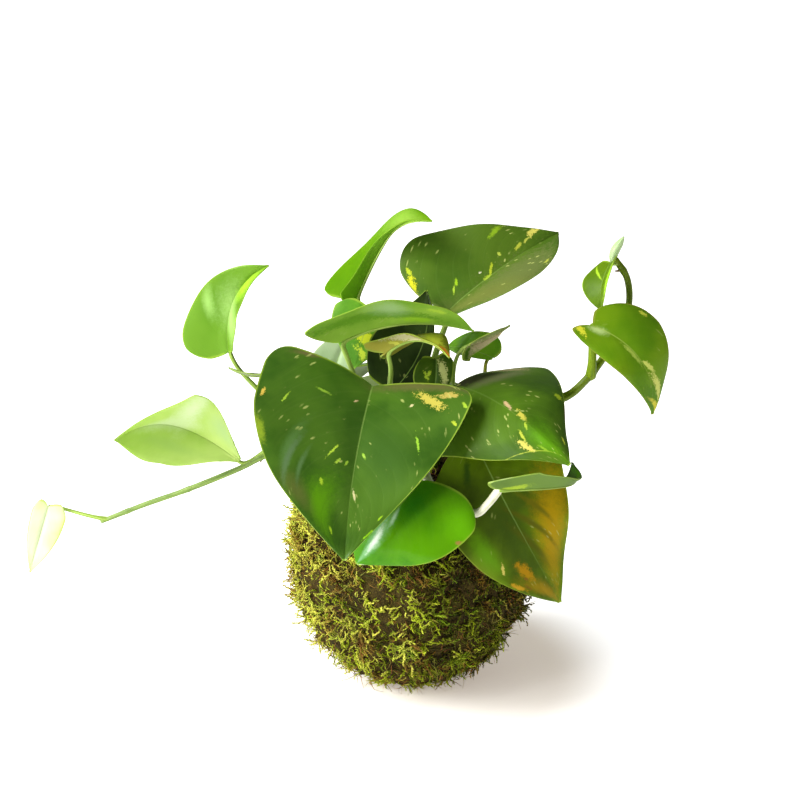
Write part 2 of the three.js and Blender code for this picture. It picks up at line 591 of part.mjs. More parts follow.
// The whole object

const object = new THREE.Group();

function place(name, solid, colour, roughness) {
  const material = new THREE.MeshStandardMaterial({ color: colour, roughness, metalness: 0 });
  const mesh = new THREE.Mesh(geometryOf(solid), material);
  mesh.name = name;
  object.add(mesh);
}

const cutters = Object.fromEntries(Object.keys(stems).map((name) => [name, stemSolid(name, clearance)]));

place("moss_cover", mossCover(), "#6f7d22", 1);
place("soil_ball", soilBall(), "#3b2a1c", 1);
place("root_plug", rootPlug(Object.values(cutters)), "#4a3626", 1);
place("binding_thread", bindingThread(), "#39421f", 0.6);
place("leaf_bud", budSolid(), "#9cc63a", 0.5);
for (const name of Object.keys(stems)) place(name, stemSolid(name), stems[name].colour, 0.5);
for (const [name, leaf] of Object.entries(leaves)) {
  place(name, leafSolid(leaf, cutters[leaf.stem]), leaf.colour, 0.35);
}

export default object;
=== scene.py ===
import math

import bpy
import numpy as np
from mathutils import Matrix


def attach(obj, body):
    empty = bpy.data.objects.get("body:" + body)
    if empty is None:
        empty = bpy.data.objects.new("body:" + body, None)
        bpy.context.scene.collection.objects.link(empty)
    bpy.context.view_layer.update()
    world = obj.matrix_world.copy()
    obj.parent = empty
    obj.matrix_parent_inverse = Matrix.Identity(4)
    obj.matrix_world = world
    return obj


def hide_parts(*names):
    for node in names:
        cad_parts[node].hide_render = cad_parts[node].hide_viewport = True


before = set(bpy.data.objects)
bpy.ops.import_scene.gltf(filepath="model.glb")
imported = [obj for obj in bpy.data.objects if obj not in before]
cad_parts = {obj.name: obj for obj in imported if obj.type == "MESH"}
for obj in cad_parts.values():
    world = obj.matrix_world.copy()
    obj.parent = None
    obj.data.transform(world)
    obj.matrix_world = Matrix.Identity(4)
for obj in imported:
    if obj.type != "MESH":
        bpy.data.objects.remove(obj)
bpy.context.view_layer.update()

mm = 0.001  # every length below is in millimetres until it is written to a mesh


# Small tools for points and meshes

def unit(vectors):
    return vectors / np.maximum(np.linalg.norm(vectors, axis=-1, keepdims=True), 1e-12)


def blendOf(low, high, share):
    return low + (high - low) * share


def smoothStep(low, high, value):
    share = np.clip((value - low) / (high - low), 0, 1)
    return share * share * (3 - 2 * share)


def deselectAll():
    if bpy.context.mode != "OBJECT":
        bpy.ops.object.mode_set(mode="OBJECT")
    bpy.ops.object.select_all(action="DESELECT")


def choose(piece):
    deselectAll()
    piece.select_set(True)
    bpy.context.view_layer.objects.active = piece


def readPoints(mesh):
    flat = np.empty(len(mesh.vertices) * 3, np.float32)
    mesh.vertices.foreach_get("co", flat)
    return flat.reshape(-1, 3).astype(float)


def writePoints(mesh, points):
    mesh.vertices.foreach_set("co", np.asarray(points, np.float32).ravel())
    mesh.update()


def cornersIn(mesh):  # which point each corner of each face stands on
    corners = np.empty(len(mesh.loops), np.int32)
    mesh.loops.foreach_get("vertex_index", corners)
    return corners


def applyModifier(piece, kind, **settings):
    choose(piece)
    modifier = piece.modifiers.new(kind.title(), kind)
    for key, value in settings.items():
        setattr(modifier, key, value)
    bpy.ops.object.modifier_apply(modifier=modifier.name)


def growGrid(name, columns, rows, placeOf):  # a grid whose points go where placeOf says
    deselectAll()
    bpy.ops.mesh.primitive_grid_add(x_subdivisions=columns, y_subdivisions=rows, size=1)
    piece = bpy.context.object
    piece.name = piece.data.name = name
    mesh = piece.data
    flat = readPoints(mesh)
    points, mapped = placeOf(flat[:, 0] + 0.5, flat[:, 1] + 0.5)
    writePoints(mesh, points * mm)
    layer = mesh.uv_layers[0]
    layer.name = "growMap"
    layer.data.foreach_set("uv", mapped[cornersIn(mesh)].astype(np.float32).ravel())
    return piece


def growTube(name, path, radii, sides, firstUp):
    # A tube with rounded ends. There is one radius for each point of the path, or for each point and side.
    path, radii = np.asarray(path, float), np.asarray(radii, float)
    if radii.ndim == 1:
        radii = np.repeat(radii[:, None], sides, 1)
    ahead = unit(np.gradient(path, axis=0))
    capAngles = np.radians([0, 30, 60])
    startCap = [path[0] - ahead[0] * radii[0].mean() * math.cos(a) for a in capAngles]
    endCap = [path[-1] + ahead[-1] * radii[-1].mean() * math.cos(a) for a in capAngles[::-1]]
    startRadii = [radii[0] * math.sin(a) for a in capAngles]
    endRadii = [radii[-1] * math.sin(a) for a in capAngles[::-1]]
    path = np.vstack([startCap, path, endCap])
    radii = np.vstack([startRadii, radii, endRadii])
    ahead = np.vstack([ahead[[0, 0, 0]], ahead, ahead[[-1, -1, -1]]])
    ups = [unit(firstUp - ahead[0] * (ahead[0] @ firstUp))]
    for direction in ahead[1:]:  # the side that starts up is carried along without a twist
        ups.append(unit(ups[-1] - direction * (direction @ ups[-1])))
    ups = np.array(ups)
    across = np.cross(ahead, ups)
    lengths = np.concatenate([[0], np.cumsum(np.linalg.norm(np.diff(path, axis=0), axis=1))])

    def placeOf(u, v):
        ring = np.rint(v * (len(path) - 1)).astype(int)
        side = np.rint(u * sides).astype(int) % sides
        angle = (2 * math.pi * side / sides)[:, None]
        radius = radii[ring, side][:, None]
        points = path[ring] + radius * (ups[ring] * np.cos(angle) + across[ring] * np.sin(angle))
        return points, np.stack([u, lengths[ring] / 100], 1)  # one unit of the map is 100 mm along

    piece = growGrid(name, sides, len(path) - 1, placeOf)
    choose(piece)
    bpy.ops.object.mode_set(mode="EDIT")
    bpy.ops.mesh.select_all(action="SELECT")
    bpy.ops.mesh.remove_doubles(threshold=0.002 * mm)  # closes the seam and both ends
    bpy.ops.mesh.normals_make_consistent(inside=False)
    bpy.ops.object.mode_set(mode="OBJECT")
    return piece


def joinInto(piece, *others):
    choose(piece)
    for other in others:
        other.select_set(True)
    bpy.ops.object.join()
    return piece


def smoothShade(piece, angle=50):
    choose(piece)
    bpy.ops.object.shade_smooth_by_angle(angle=math.radians(angle))


def nodeOf(name):  # the piece leafFrontLow stands for the CAD's leaf_front_low
    return "".join("_" + letter.lower() if letter.isupper() else letter for letter in name)


def settle(piece, slot, *nodes):  # hands the finished piece to the model
    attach(piece, "root")
    if nodes:
        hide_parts(*nodes)


def meshOf(name, points, faces, mapped):  # many copies of a modelled shape as one mesh of triangles
    mesh = bpy.data.meshes.new(name)
    mesh.vertices.add(len(points))
    mesh.vertices.foreach_set("co", (points * mm).astype(np.float32).ravel())
    mesh.loops.add(faces.size)
    mesh.loops.foreach_set("vertex_index", faces.astype(np.int32).ravel())
    mesh.polygons.add(len(faces))
    mesh.polygons.foreach_set("loop_start", np.arange(0, faces.size, 3, dtype=np.int32))
    layer = mesh.uv_layers.new(name="growMap")
    layer.data.foreach_set("uv", mapped[faces.ravel()].astype(np.float32).ravel())
    mesh.update(calc_edges=True)
    piece = bpy.data.objects.new(name, mesh)
    bpy.context.scene.collection.objects.link(piece)
    return piece


# Shader sums

def colour(code):  # "#rrggbb" as the linear colour that a socket holds
    parts = [int(code[i:i + 2], 16) / 255 for i in (1, 3, 5)]
    return (*[c / 12.92 if c <= 0.04045 else ((c + 0.055) / 1.055) ** 2.4 for c in parts], 1)


class Wire:  # a node's output that can stand in a sum
    def __init__(self, paint, socket):
        self.paint, self.socket = paint, socket

    def math(self, operation, *values):
        return self.paint.add("ShaderNodeMath", {"operation": operation}, values)

    def __add__(self, other):
        return self.math("ADD", self, other)

    def __sub__(self, other):
        return self.math("SUBTRACT", self, other)

    def __rsub__(self, other):
        return self.math("SUBTRACT", other, self)

    def __mul__(self, other):
        return self.math("MULTIPLY", self, other)

    def __pow__(self, other):
        return self.math("POWER", self, other)

    def __abs__(self):
        return self.math("ABSOLUTE", self)

    __radd__, __rmul__ = __add__, __mul__

    def least(self, other):
        return self.math("MINIMUM", self, other)

    def band(self, low, high, out0=0.0, out1=1.0):  # soft step from low to high
        settings = {"interpolation_type": "SMOOTHSTEP"}
        return self.paint.add("ShaderNodeMapRange", settings, [self, low, high, out0, out1])


class Paint:  # one material and its nodes
    def __init__(self, name):
        self.material = bpy.data.materials.new(name)
        self.material.use_nodes = True
        self.tree = self.material.node_tree
        self.tree.nodes.clear()

    def add(self, kind, settings=None, sockets=(), out=0):
        node = self.tree.nodes.new(kind)
        for key, value in (settings or {}).items():
            if key == "stops":
                ramp = node.color_ramp
                while len(ramp.elements) < len(value):
                    ramp.elements.new(0.5)
                for element, (place, tint) in zip(ramp.elements, value):
                    element.position, element.color = place, tint
            else:
                setattr(node, key, value)
        for key, value in (sockets.items() if isinstance(sockets, dict) else enumerate(sockets)):
            if isinstance(value, Wire):
                self.tree.links.new(value.socket, node.inputs[key])
            else:
                node.inputs[key].default_value = value
        return Wire(self, node.outputs[out])

    def both(self, kind, settings, sockets, *outs):  # several outputs of one node
        first = self.add(kind, settings, sockets)
        return [Wire(self, first.socket.node.outputs[out]) for out in outs]

    def place(self):  # where a point is on the object, in metres
        return self.add("ShaderNodeTexCoord", out="Object")

    def grow(self):  # the piece's own map: across and along
        grown = self.add("ShaderNodeUVMap", {"uv_map": "growMap"})
        return self.both("ShaderNodeSeparateXYZ", None, [grown], "X", "Y")

    def vector(self, x, y, z=0.0):
        return self.add("ShaderNodeCombineXYZ", None, [x, y, z])

    def noise(self, at, scale, detail=2.0, rough=0.5, distortion=0.0):
        return self.add("ShaderNodeTexNoise", None, {"Vector": at, "Scale": scale, "Detail": detail,
                                                     "Roughness": rough, "Distortion": distortion})

    def mix(self, factor, first, second, blend="MIX"):
        return self.add("ShaderNodeMix", {"data_type": "RGBA", "blend_type": blend},
                        {0: factor, 6: first, 7: second}, 2)

    def ramp(self, factor, *stops):
        settings = {"stops": [(at, colour(tint)) for at, tint in stops]}
        return self.add("ShaderNodeValToRGB", settings, [factor])

    def bump(self, height, strength, depth):
        sockets = {"Strength": strength, "Distance": depth * mm, "Height": height}
        return self.add("ShaderNodeBump", None, sockets)

    def farFrom(self, flat, x, y, turn, long, wide):  # 0 in the middle of a turned oval and 1 on its edge
        inOval = self.add("ShaderNodeMapping", {"vector_type": "TEXTURE"}, {
            "Vector": flat, "Location": (x, y, 0), "Rotation": (0, 0, math.radians(turn)),
            "Scale": (long, wide, 1)})
        return self.add("ShaderNodeVectorMath", {"operation": "LENGTH"}, [inOval], "Value")

    def surface(self, glow=None, glowShare=0.0, **sockets):  # the finish, and light that comes through
        shader = self.add("ShaderNodeBsdfPrincipled", None, sockets)
        if glow:
            through = self.add("ShaderNodeBsdfTranslucent", None, {"Color": colour(glow)})
            shader = self.add("ShaderNodeMixShader", None, [glowShare, shader, through])
        output = self.tree.nodes.new("ShaderNodeOutputMaterial")
        self.tree.links.new(shader.socket, output.inputs["Surface"])
        return self.material


# Camera, light and floor

view = {"from": (-0.0055, -0.7868, 0.4012), "at": (-0.0055, 0.0216, 0.1386), "lens": 76.5, "sensor": 36}
light = {
    "window": {"at": (-1.68, -0.40, 1.20), "wide": 0.9, "tall": 1.6, "power": 72, "tint": (1, 0.99, 0.97)},
    "pane": {"at": (-1.20, -1.07, 0.79), "wide": 0.42, "tall": 1.24, "power": 17, "tint": (1, 0.99, 0.98)},
}
sky = {"tint": (1, 0.985, 0.965, 1), "strength": 0.2, "seen": 1.03}
floorLook = {  # it glows away from the ball, so that the white goes on to the edge of the picture; near the ball it glows less, in a warm tint, which paints the shade round the ball's foot
    "size": 14, "tint": "#fbf9f6", "nearGlow": (0.40, 0.35, 0.30, 1), "farGlow": (0.9, 0.9, 0.9, 1),
    "fade": (0.072, 0.12),
}


def aimAt(thing, target):
    away = np.array(thing.location) - np.array(target)
    flat = math.hypot(away[0], away[1])
    thing.rotation_euler = (math.atan2(flat, away[2]), 0, math.atan2(away[0], -away[1]))


def setStudio():
    deselectAll()
    bpy.ops.object.camera_add(location=view["from"])
    camera = bpy.context.object
    camera.name = "camera"
    camera.data.lens = view["lens"]
    camera.data.sensor_width = view["sensor"]
    camera.data.clip_start = 0.01
    aimAt(camera, view["at"])
    bpy.context.scene.camera = camera
    for name, lamp in light.items():
        bpy.ops.object.light_add(type="AREA", location=lamp["at"])
        lampObject = bpy.context.object
        lampObject.name = name
        lampObject.data.shape = "RECTANGLE"
        lampObject.data.size, lampObject.data.size_y = lamp["wide"], lamp["tall"]
        lampObject.data.energy = lamp["power"]
        lampObject.data.color = lamp["tint"]
        aimAt(lampObject, (0, 0, 0.12))
    world = bpy.data.worlds.new("studio")
    bpy.context.scene.world = world
    world.use_nodes = True
    backdrop = world.node_tree.nodes["Background"]
    backdrop.inputs["Color"].default_value = sky["tint"]
    rays = world.node_tree.nodes.new("ShaderNodeLightPath")
    strength = world.node_tree.nodes.new("ShaderNodeMapRange")  # dim for the light, white as a backdrop
    strength.inputs["To Min"].default_value = sky["strength"]
    strength.inputs["To Max"].default_value = sky["seen"]
    world.node_tree.links.new(rays.outputs["Is Camera Ray"], strength.inputs["Value"])
    world.node_tree.links.new(strength.outputs["Result"], backdrop.inputs["Strength"])
    bpy.context.scene.view_settings.view_transform = "Standard"
    bpy.ops.mesh.primitive_plane_add(size=floorLook["size"])
    floor = bpy.context.object
    floor.name = "floor"
    paint = Paint("paleFloor")
    away = paint.add("ShaderNodeVectorMath", {"operation": "LENGTH"}, [paint.place()], "Value")
    glow = paint.mix(away.band(*floorLook["fade"]), floorLook["nearGlow"], floorLook["farGlow"])
    floor.data.materials.append(paint.surface(**{
        "Base Color": colour(floorLook["tint"]), "Roughness": 0.9, "Emission Color": glow,
        "Emission Strength": 1.0}))
    print("studio set")


# The moss ball

ball = {
    "radius": 59, "widest": 72, "below": 76, "above": 48, "mouth": 25, "lump": 1.5, "detail": 6, "wall": 8,
    "matDepth": 1.4, "floor": 0.1, "pressed": 0.6, "lowestMoss": 2.2,
}
sprigs = {
    "count": 11300, "pieces": 4, "length": (3, 4.4), "lift": (4, 66), "sink": 1.2, "swirl": 0.6,
    "tuft": 1.6, "closeBelow": (30, 8), "middleTint": 0.46, "paintedShadeToRight": 0.58,
    "forms": [(-70, 40, 0.21), (45, -70, 0.19), (-35, 90, 0.23), (80, 20, 0.2), (-100, -30, 0.21),
              (20, -100, 0.22), (60, 60, 0.19), (-50, -80, 0.23)],  # bend, swing, reach of a leaflet
    "radius": 0.06, "narrow": 0.8, "steps": 3, "leaflets": 10, "leafletRadius": 0.065, "spread": (30, 56),
    "stops": [(0.02, "#2a1d0d"), (0.16, "#443611"), (0.32, "#625f18"), (0.52, "#8d9a1a"), (0.72, "#cbdc2c"),
              (0.88, "#fbf86a"), (0.93, "#a0682e"), (1, "#5e3a20")],
    "tip": "#e8ee58", "root": "#241a09", "glow": "#c4d82c", "glowShare": 0.28, "greenShare": 0.4,
}
fibres = {
    "count": 2000, "length": (3.5, 9), "lift": (0, 40),
    "stray": 46, "strayLength": (8, 14), "strayLift": (20, 60),
    "forms": [(-60, 40), (40, -60), (-110, 20), (80, 70), (20, -120)],  # bend, swing
    "radius": 0.03, "narrow": 0.85, "steps": 5,
    "stops": [(0, "#3d2715"), (0.3, "#6b4423"), (0.55, "#9c6530"), (0.75, "#b98a44"), (0.9, "#8f8a3c"),
              (1, "#a3a84c")],
    "tip": "#b08a48", "root": "#3a2814", "glow": "#b58a3a", "glowShare": 0.15, "greenShare": 0,
}


def lumpAt(u):
    x, y, z = u[:, 0], u[:, 1], u[:, 2]
    return ball["lump"] * (np.sin(4.3 * x + 1.1) * np.sin(3.7 * y - 0.6)
                           + 0.6 * np.sin(7.1 * z + 2.3 * x) * np.cos(5.9 * y + 1.7))


def onBall(u, raised=0.0):  # the point of the moss mat in the direction u, raised by some millimetres
    depth = np.where(u[:, 2] < 0, ball["below"], ball["above"])
    x, y = ball["radius"] * u[:, 0], ball["radius"] * u[:, 1]
    egg = np.stack([x, y, ball["widest"] + depth * u[:, 2]], 1)
    return egg + u * (lumpAt(u) + raised)[:, None]


def outOfBall(u):  # the way that the mat faces there
    depth = np.where(u[:, 2] < 0, ball["below"], ball["above"])
    return unit(np.stack([u[:, 0] / ball["radius"], u[:, 1] / ball["radius"], u[:, 2] / depth], 1))


def cloudAt(points, size, seed):  # an even noise of about -1 to 1, with blots about size millimetres wide
    draw = np.random.default_rng(seed)
    ways = unit(draw.normal(size=(10, 3))) * draw.uniform(0.7, 1.5, (10, 1)) * (math.pi / size)
    return np.sin(points @ ways.T + draw.uniform(0, 2 * math.pi, 10)).sum(1) / 2.6


def mossMatMaterial():
    paint = Paint("mossMat")
    at = paint.place()
    broad = paint.noise(at, 90, 4, 0.6)
    fine = paint.noise(at, 900, 5, 0.7)
    tint = paint.ramp(broad * 0.45 + fine * 0.55, (0.3, "#171408"), (0.43, "#342c10"), (0.52, "#554618"),
                      (0.6, "#4d4c16"), (0.72, "#6f7324"))
    return paint.surface(**{"Base Color": tint, "Roughness": 0.95, "Specular IOR Level": 0.2,
                            "Normal": paint.bump(fine, 1.0, 2.5)})


def mossShootMaterial(name, look):
    paint = Paint(name)
    own, along = paint.grow()
    at = paint.place()
    patch = paint.noise(at, 70, 3, 0.55)
    fine = paint.noise(at, 1700, 2, 0.5)
    tint = paint.ramp(own + (patch - 0.5) * 0.3, *look["stops"])
    tint = paint.mix(along.band(0.3, 1.0) * 0.3, tint, colour(look["tip"]))
    # darker towards the root of each shoot: partly the older, browner stem, partly painted shade deep in
    # the mat
    tint = paint.mix(along.band(0.35, 0.0) * 0.5, tint, colour(look["root"]))
    tint = paint.mix(fine.band(0.35, 0.75) * 0.35, tint, colour("#4a4a20"), "MULTIPLY")
    green = paint.noise(at, 120, 2, 0.5).band(0.52, 0.66) * look["greenShare"]
    tint = paint.mix(green, tint, colour("#5f9a1c"))
    return paint.surface(look["glow"], look["glowShare"], **{
        "Base Color": tint, "Roughness": 0.6, "Specular IOR Level": 0.12,
        "Normal": paint.bump(fine, 0.4, 0.2)})


def takeShape(piece):  # the points and three-cornered faces of a modelled shape, which then goes
    applyModifier(piece, "TRIANGULATE")
    points, faces = readPoints(piece.data), cornersIn(piece.data).reshape(-1, 3)
    bpy.data.objects.remove(piece)
    return points, faces


def modelStrand(draw, kind, bend, swing):  # a bent strand along X with its root at 0, 1 long
    deselectAll()
    bpy.ops.mesh.primitive_circle_add(
        vertices=3, radius=kind["radius"], fill_type="NGON", rotation=(0, math.pi / 2, 0))
    strand = bpy.context.object
    bpy.ops.object.transform_apply(location=False, rotation=True, scale=False)
    bpy.ops.object.mode_set(mode="EDIT")
    bpy.ops.mesh.select_all(action="SELECT")
    spine, steps = [np.zeros(3)], kind["steps"]
    for k in range(steps):
        rise = math.radians(bend) * (k + 0.5) / steps
        aside = math.radians(swing) * (k + 0.5) / steps + draw.uniform(-0.25, 0.25)
        step = np.array([math.cos(rise) * math.cos(aside), math.sin(aside), math.sin(rise)]) / steps
        bpy.ops.mesh.extrude_region_move(TRANSFORM_OT_translate={"value": tuple(step)})
        bpy.ops.transform.resize(value=(kind["narrow"],) * 3)
        spine.append(spine[-1] + step)
    return strand, np.array(spine)


def modelSprig(seed, bend, swing, reach):  # one moss shoot: a strand with leaflets all round it
    draw = np.random.default_rng(seed)
    sprig, spine = modelStrand(draw, sprigs, bend, swing)
    steps, leaflets = sprigs["steps"], sprigs["leaflets"]
    for k in range(leaflets):
        share = (k + 0.6) / leaflets
        low = min(int(share * steps), steps - 1)
        root = blendOf(spine[low], spine[low + 1], share * steps - low)
        ahead = unit(spine[low + 1] - spine[low])
        aside = unit(np.cross(ahead, [0.1, 0.2, 1.0]))
        turn = 2.4 * k + draw.uniform(-0.5, 0.5)  # near the golden angle
        out = aside * math.cos(turn) + np.cross(ahead, aside) * math.sin(turn)
        slimmer = 1.2 - 0.5 * share  # towards the tip the leaflets are shorter and lie closer
        spread = math.radians(draw.uniform(*sprigs["spread"])) * slimmer
        way = ahead * math.cos(spread) + out * math.sin(spread)
        length = reach * slimmer * draw.uniform(0.75, 1.3)
        bpy.ops.mesh.primitive_cone_add(
            vertices=3, radius1=sprigs["leafletRadius"], radius2=0, depth=length,
            location=tuple(root + way * length * 0.5),
            rotation=(0, math.pi / 2 - math.asin(way[2]), math.atan2(way[1], way[0])))
    bpy.ops.object.mode_set(mode="OBJECT")
    return takeShape(sprig)


def modelFibre(seed, bend, swing):  # a bare bent fibre
    fibre, _ = modelStrand(np.random.default_rng(seed), fibres, bend, swing)
    bpy.ops.object.mode_set(mode="OBJECT")
    return takeShape(fibre)


def scatter(name, shapes, roots, outs, ways, lifts, lengths, ownShare, widths):
    # Copies of the shapes in one mesh: x runs along the mat and up by the lift, z away from it.
    allPoints, allFaces, allMaps = [], [], []
    start = 0
    side = unit(np.cross(outs, ways))
    raisedWay = unit(ways * np.cos(lifts)[:, None] + outs * np.sin(lifts)[:, None])
    raisedOut = np.cross(raisedWay, side)
    for k, (points, faces) in enumerate(shapes):
        mine = np.arange(len(roots)) % len(shapes) == k
        count = int(mine.sum())
        if not count:
            continue
        wide = (lengths * widths)[mine][:, None, None]
        placed = (roots[mine][:, None, :]
                  + points[None, :, 0, None] * (raisedWay * lengths[:, None])[mine][:, None, :]
                  + points[None, :, 1, None] * side[mine][:, None, :] * wide
                  + points[None, :, 2, None] * raisedOut[mine][:, None, :] * wide)
        allPoints.append(placed.reshape(-1, 3))
        firsts = start + np.arange(count) * len(points)
        allFaces.append((faces[None] + firsts[:, None, None]).reshape(-1, 3))
        start += count * len(points)
        own = np.repeat(ownShare[mine], len(points))
        allMaps.append(np.stack([own, np.tile(np.clip(points[:, 0], 0, 1), count)], 1))
    placed = np.vstack(allPoints)
    low = placed[:, 2] < ball["pressed"]
    placed[low, 2] = 0.25 + 0.35 * np.exp((placed[low, 2] - ball["pressed"]) / 2)  # flat on the floor
    return meshOf(name, placed, np.vstack(allFaces), np.vstack(allMaps))


def mossMat():
    deselectAll()
    bpy.ops.mesh.primitive_ico_sphere_add(subdivisions=ball["detail"], radius=1)
    mat = bpy.context.object
    mat.name = mat.data.name = "mossMat"
    mesh = mat.data
    u = unit(readPoints(mesh))
    flat = u * ball["radius"]
    rough = cloudAt(flat, 2.4, 5) * 0.7 + tuftAt(flat) * 1.1
    points = onBall(u, rough - ball["matDepth"])
    points[:, 2] = np.maximum(points[:, 2], ball["floor"])
    mouth = (np.hypot(points[:, 0], points[:, 1]) < ball["mouth"] + rough) & (u[:, 2] > 0)
    writePoints(mesh, points * mm)
    choose(mat)
    bpy.ops.object.mode_set(mode="EDIT")
    bpy.ops.mesh.select_all(action="DESELECT")
    bpy.ops.object.mode_set(mode="OBJECT")
    mesh.vertices.foreach_set("select", mouth)
    bpy.ops.object.mode_set(mode="EDIT")
    bpy.ops.mesh.select_mode(type="VERT")
    bpy.ops.mesh.delete(type="VERT")
    bpy.ops.object.mode_set(mode="OBJECT")
    applyModifier(mat, "SOLIDIFY", thickness=ball["wall"] * mm, offset=-1)
    smoothShade(mat, 80)
    mat.data.materials.append(mossMatMaterial())
    settle(mat, "moss_cover", "moss_cover")
    print("moss mat", len(mat.data.polygons))


def tuftAt(flat):  # where the moss stands up in tufts (1) and where it gapes (-1)
    return np.clip(cloudAt(flat, 6.5, 7) + 0.5 * cloudAt(flat, 3.4, 17), -1.4, 1.4)


def spreadDirections(count, draw):  # random directions, none over the mouth or under the flat foot
    u = unit(draw.normal(size=(count * 4, 3)))
    at = onBall(u)
    free = (np.hypot(at[:, 0], at[:, 1]) > ball["mouth"] - 2) | (u[:, 2] < 0)
    free &= at[:, 2] > ball["lowestMoss"]
    return u[free]


def anyWay(outs, draw):  # random directions along the mat
    return unit(np.cross(outs, unit(draw.normal(size=outs.shape))))


def mossSprigs():
    draw = np.random.default_rng(21)
    shapes = [modelSprig(30 + k, *form) for k, form in enumerate(sprigs["forms"])]
    u = spreadDirections(sprigs["count"], draw)
    stand = tuftAt(u * ball["radius"])
    kept = draw.uniform(-2.1, 1.0, len(u)) < stand + 0.25  # fewer shoots grow in the gaps
    u, stand = u[kept][:sprigs["count"]], stand[kept][:sprigs["count"]]
    flat = u * ball["radius"]
    outs = outOfBall(u)
    drift = np.stack([cloudAt(flat, 11, seed) for seed in (8, 9, 10)], 1)
    ways = unit(anyWay(outs, draw) + drift * sprigs["swirl"])
    ways = unit(ways - outs * (ways * outs).sum(1)[:, None])
    shortest, longer = sprigs["length"]
    lengths = shortest + longer * draw.uniform(0, 1, len(u)) ** 1.7
    lengths *= 1 + 0.15 * stand
    flattest, steeper = sprigs["lift"]
    lifts = np.radians(flattest + steeper * draw.uniform(0, 1, len(u)) ** 1.6)
    roots = onBall(u, stand * sprigs["tuft"] - sprigs["sink"])
    under = smoothStep(*sprigs["closeBelow"], roots[:, 2])  # near the floor the shoots lie close
    lifts *= 1 - 0.75 * under
    lengths *= 1 - 0.2 * under
    roots -= outs * under[:, None] * 0.5
    # tufts that stand up get a lighter tint and the gaps a darker one, which paints the shade in the gaps;
    # towards the right the tint runs darker and browner: painted shade on the side away from the lamps,
    # with some browner moss there too
    own = sprigs["middleTint"] + 0.12 * cloudAt(flat, 16, 11) + 0.2 * stand
    own = own - sprigs["paintedShadeToRight"] * u[:, 0] + draw.normal(0, 0.15, len(u))
    dry = cloudAt(flat, 9, 12) + 0.3 * u[:, 0] + draw.normal(0, 0.5, len(u)) > 1.1  # in brown patches
    own = np.where(dry, draw.uniform(0.93, 1, len(u)), np.clip(own, 0, 0.88))
    finish = mossShootMaterial("mossSprigs", sprigs)
    for k in range(sprigs["pieces"]):
        mine = np.arange(len(u)) % sprigs["pieces"] == k
        piece = scatter(f"mossSprigs{k + 1}", shapes, roots[mine], outs[mine], ways[mine], lifts[mine],
                        lengths[mine], own[mine], np.full(mine.sum(), 1.0))
        piece.data.materials.append(finish)
        settle(piece, "moss_cover")
        print("moss sprigs", k + 1, len(piece.data.polygons))


def mossFibres():
    draw = np.random.default_rng(22)
    shapes = [modelFibre(50 + k, *form) for k, form in enumerate(fibres["forms"])]
    count = fibres["count"] + fibres["stray"]
    u = spreadDirections(count, draw)[:count]
    outs = outOfBall(u)
    late = np.arange(len(u)) >= fibres["count"]  # the stray ones that stand out of the ball
    longOnes, shortOnes = (draw.uniform(*fibres[key], len(u)) for key in ("strayLength", "length"))
    steepOnes, flatOnes = (draw.uniform(*fibres[key], len(u)) for key in ("strayLift", "lift"))
    own = np.where(late, draw.uniform(0.75, 1, len(u)), draw.uniform(0, 1, len(u)))
    lengths, lifts = np.where(late, longOnes, shortOnes), np.radians(np.where(late, steepOnes, flatOnes))
    roots = onBall(u, draw.uniform(-0.6, 1.8, len(u)))
    piece = scatter("mossFibres", shapes, roots, outs, anyWay(outs, draw), lifts, lengths, own,
                    np.where(late, 0.75, 1.0))
    piece.data.materials.append(mossShootMaterial("mossFibres", fibres))
    settle(piece, "moss_cover")
    print("moss fibres", len(piece.data.polygons))


# The soil in the mouth

soil = {
    "top": 109.5, "reach": 24, "fall": 4, "crumbs": 420, "shapes": 3, "sizes": (0.7, 2.4),
    "tints": ("#140e09", "#3a2a1b"), "crumbTints": ("#1a120b", "#5a4129"),
}


def soilMaterial(name, dark, light):
    paint = Paint(name)
    at = paint.place()
    broad = paint.noise(at, 250, 5, 0.65)
    fine = paint.noise(at, 1600, 4, 0.7)
    tint = paint.ramp(broad * 0.5 + fine * 0.5, (0.3, dark), (0.7, light))
    return paint.surface(**{"Base Color": tint, "Roughness": 0.95, "Specular IOR Level": 0.2,
                            "Normal": paint.bump(fine, 0.8, 1.2)})


def soilAndCrumbs():
    draw = np.random.default_rng(23)
    for node in ("soil_ball", "root_plug"):
        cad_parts[node].data.materials.clear()
        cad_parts[node].data.materials.append(soilMaterial(node, *soil["tints"]))
    shapes = []
    for _ in range(soil["shapes"]):
        deselectAll()
        bpy.ops.mesh.primitive_ico_sphere_add(subdivisions=1, radius=0.5)
        points, faces = takeShape(bpy.context.object)
        shapes.append((points * draw.uniform(0.7, 1.25, (len(points), 1)), faces))
    count = soil["crumbs"]
    angle = draw.uniform(0, 2 * math.pi, count)
    reach = soil["reach"] * np.sqrt(draw.uniform(0, 1, count))
    height = soil["top"] - soil["fall"] * smoothStep(15, soil["reach"], reach)
    height = height + draw.uniform(-0.8, 0.8, count)
    roots = np.stack([reach * np.cos(angle), reach * np.sin(angle), height], 1)
    outs = unit(draw.normal(size=(count, 3)))
    ways = unit(np.cross(outs, unit(draw.normal(size=(count, 3)))))
    crumbs = scatter("soilCrumbs", shapes, roots, outs, ways, np.zeros(count),
                     draw.uniform(*soil["sizes"], count), draw.uniform(0, 1, count), np.full(count, 1.0))
    crumbs.data.materials.append(soilMaterial("soilCrumbs", *soil["crumbTints"]))
    settle(crumbs, "root_plug")
    print("soil and crumbs")


# The thread that ties the moss on

thread = {
    "radius": 0.38, "turns": 5, "top": 108, "bottom": 14, "steps": 72, "sides": 8, "raised": -1.5,
    "strand": 0.12, "tints": ("#2a2a10", "#4c4c1c"), "between": "#1c1c0c",
}


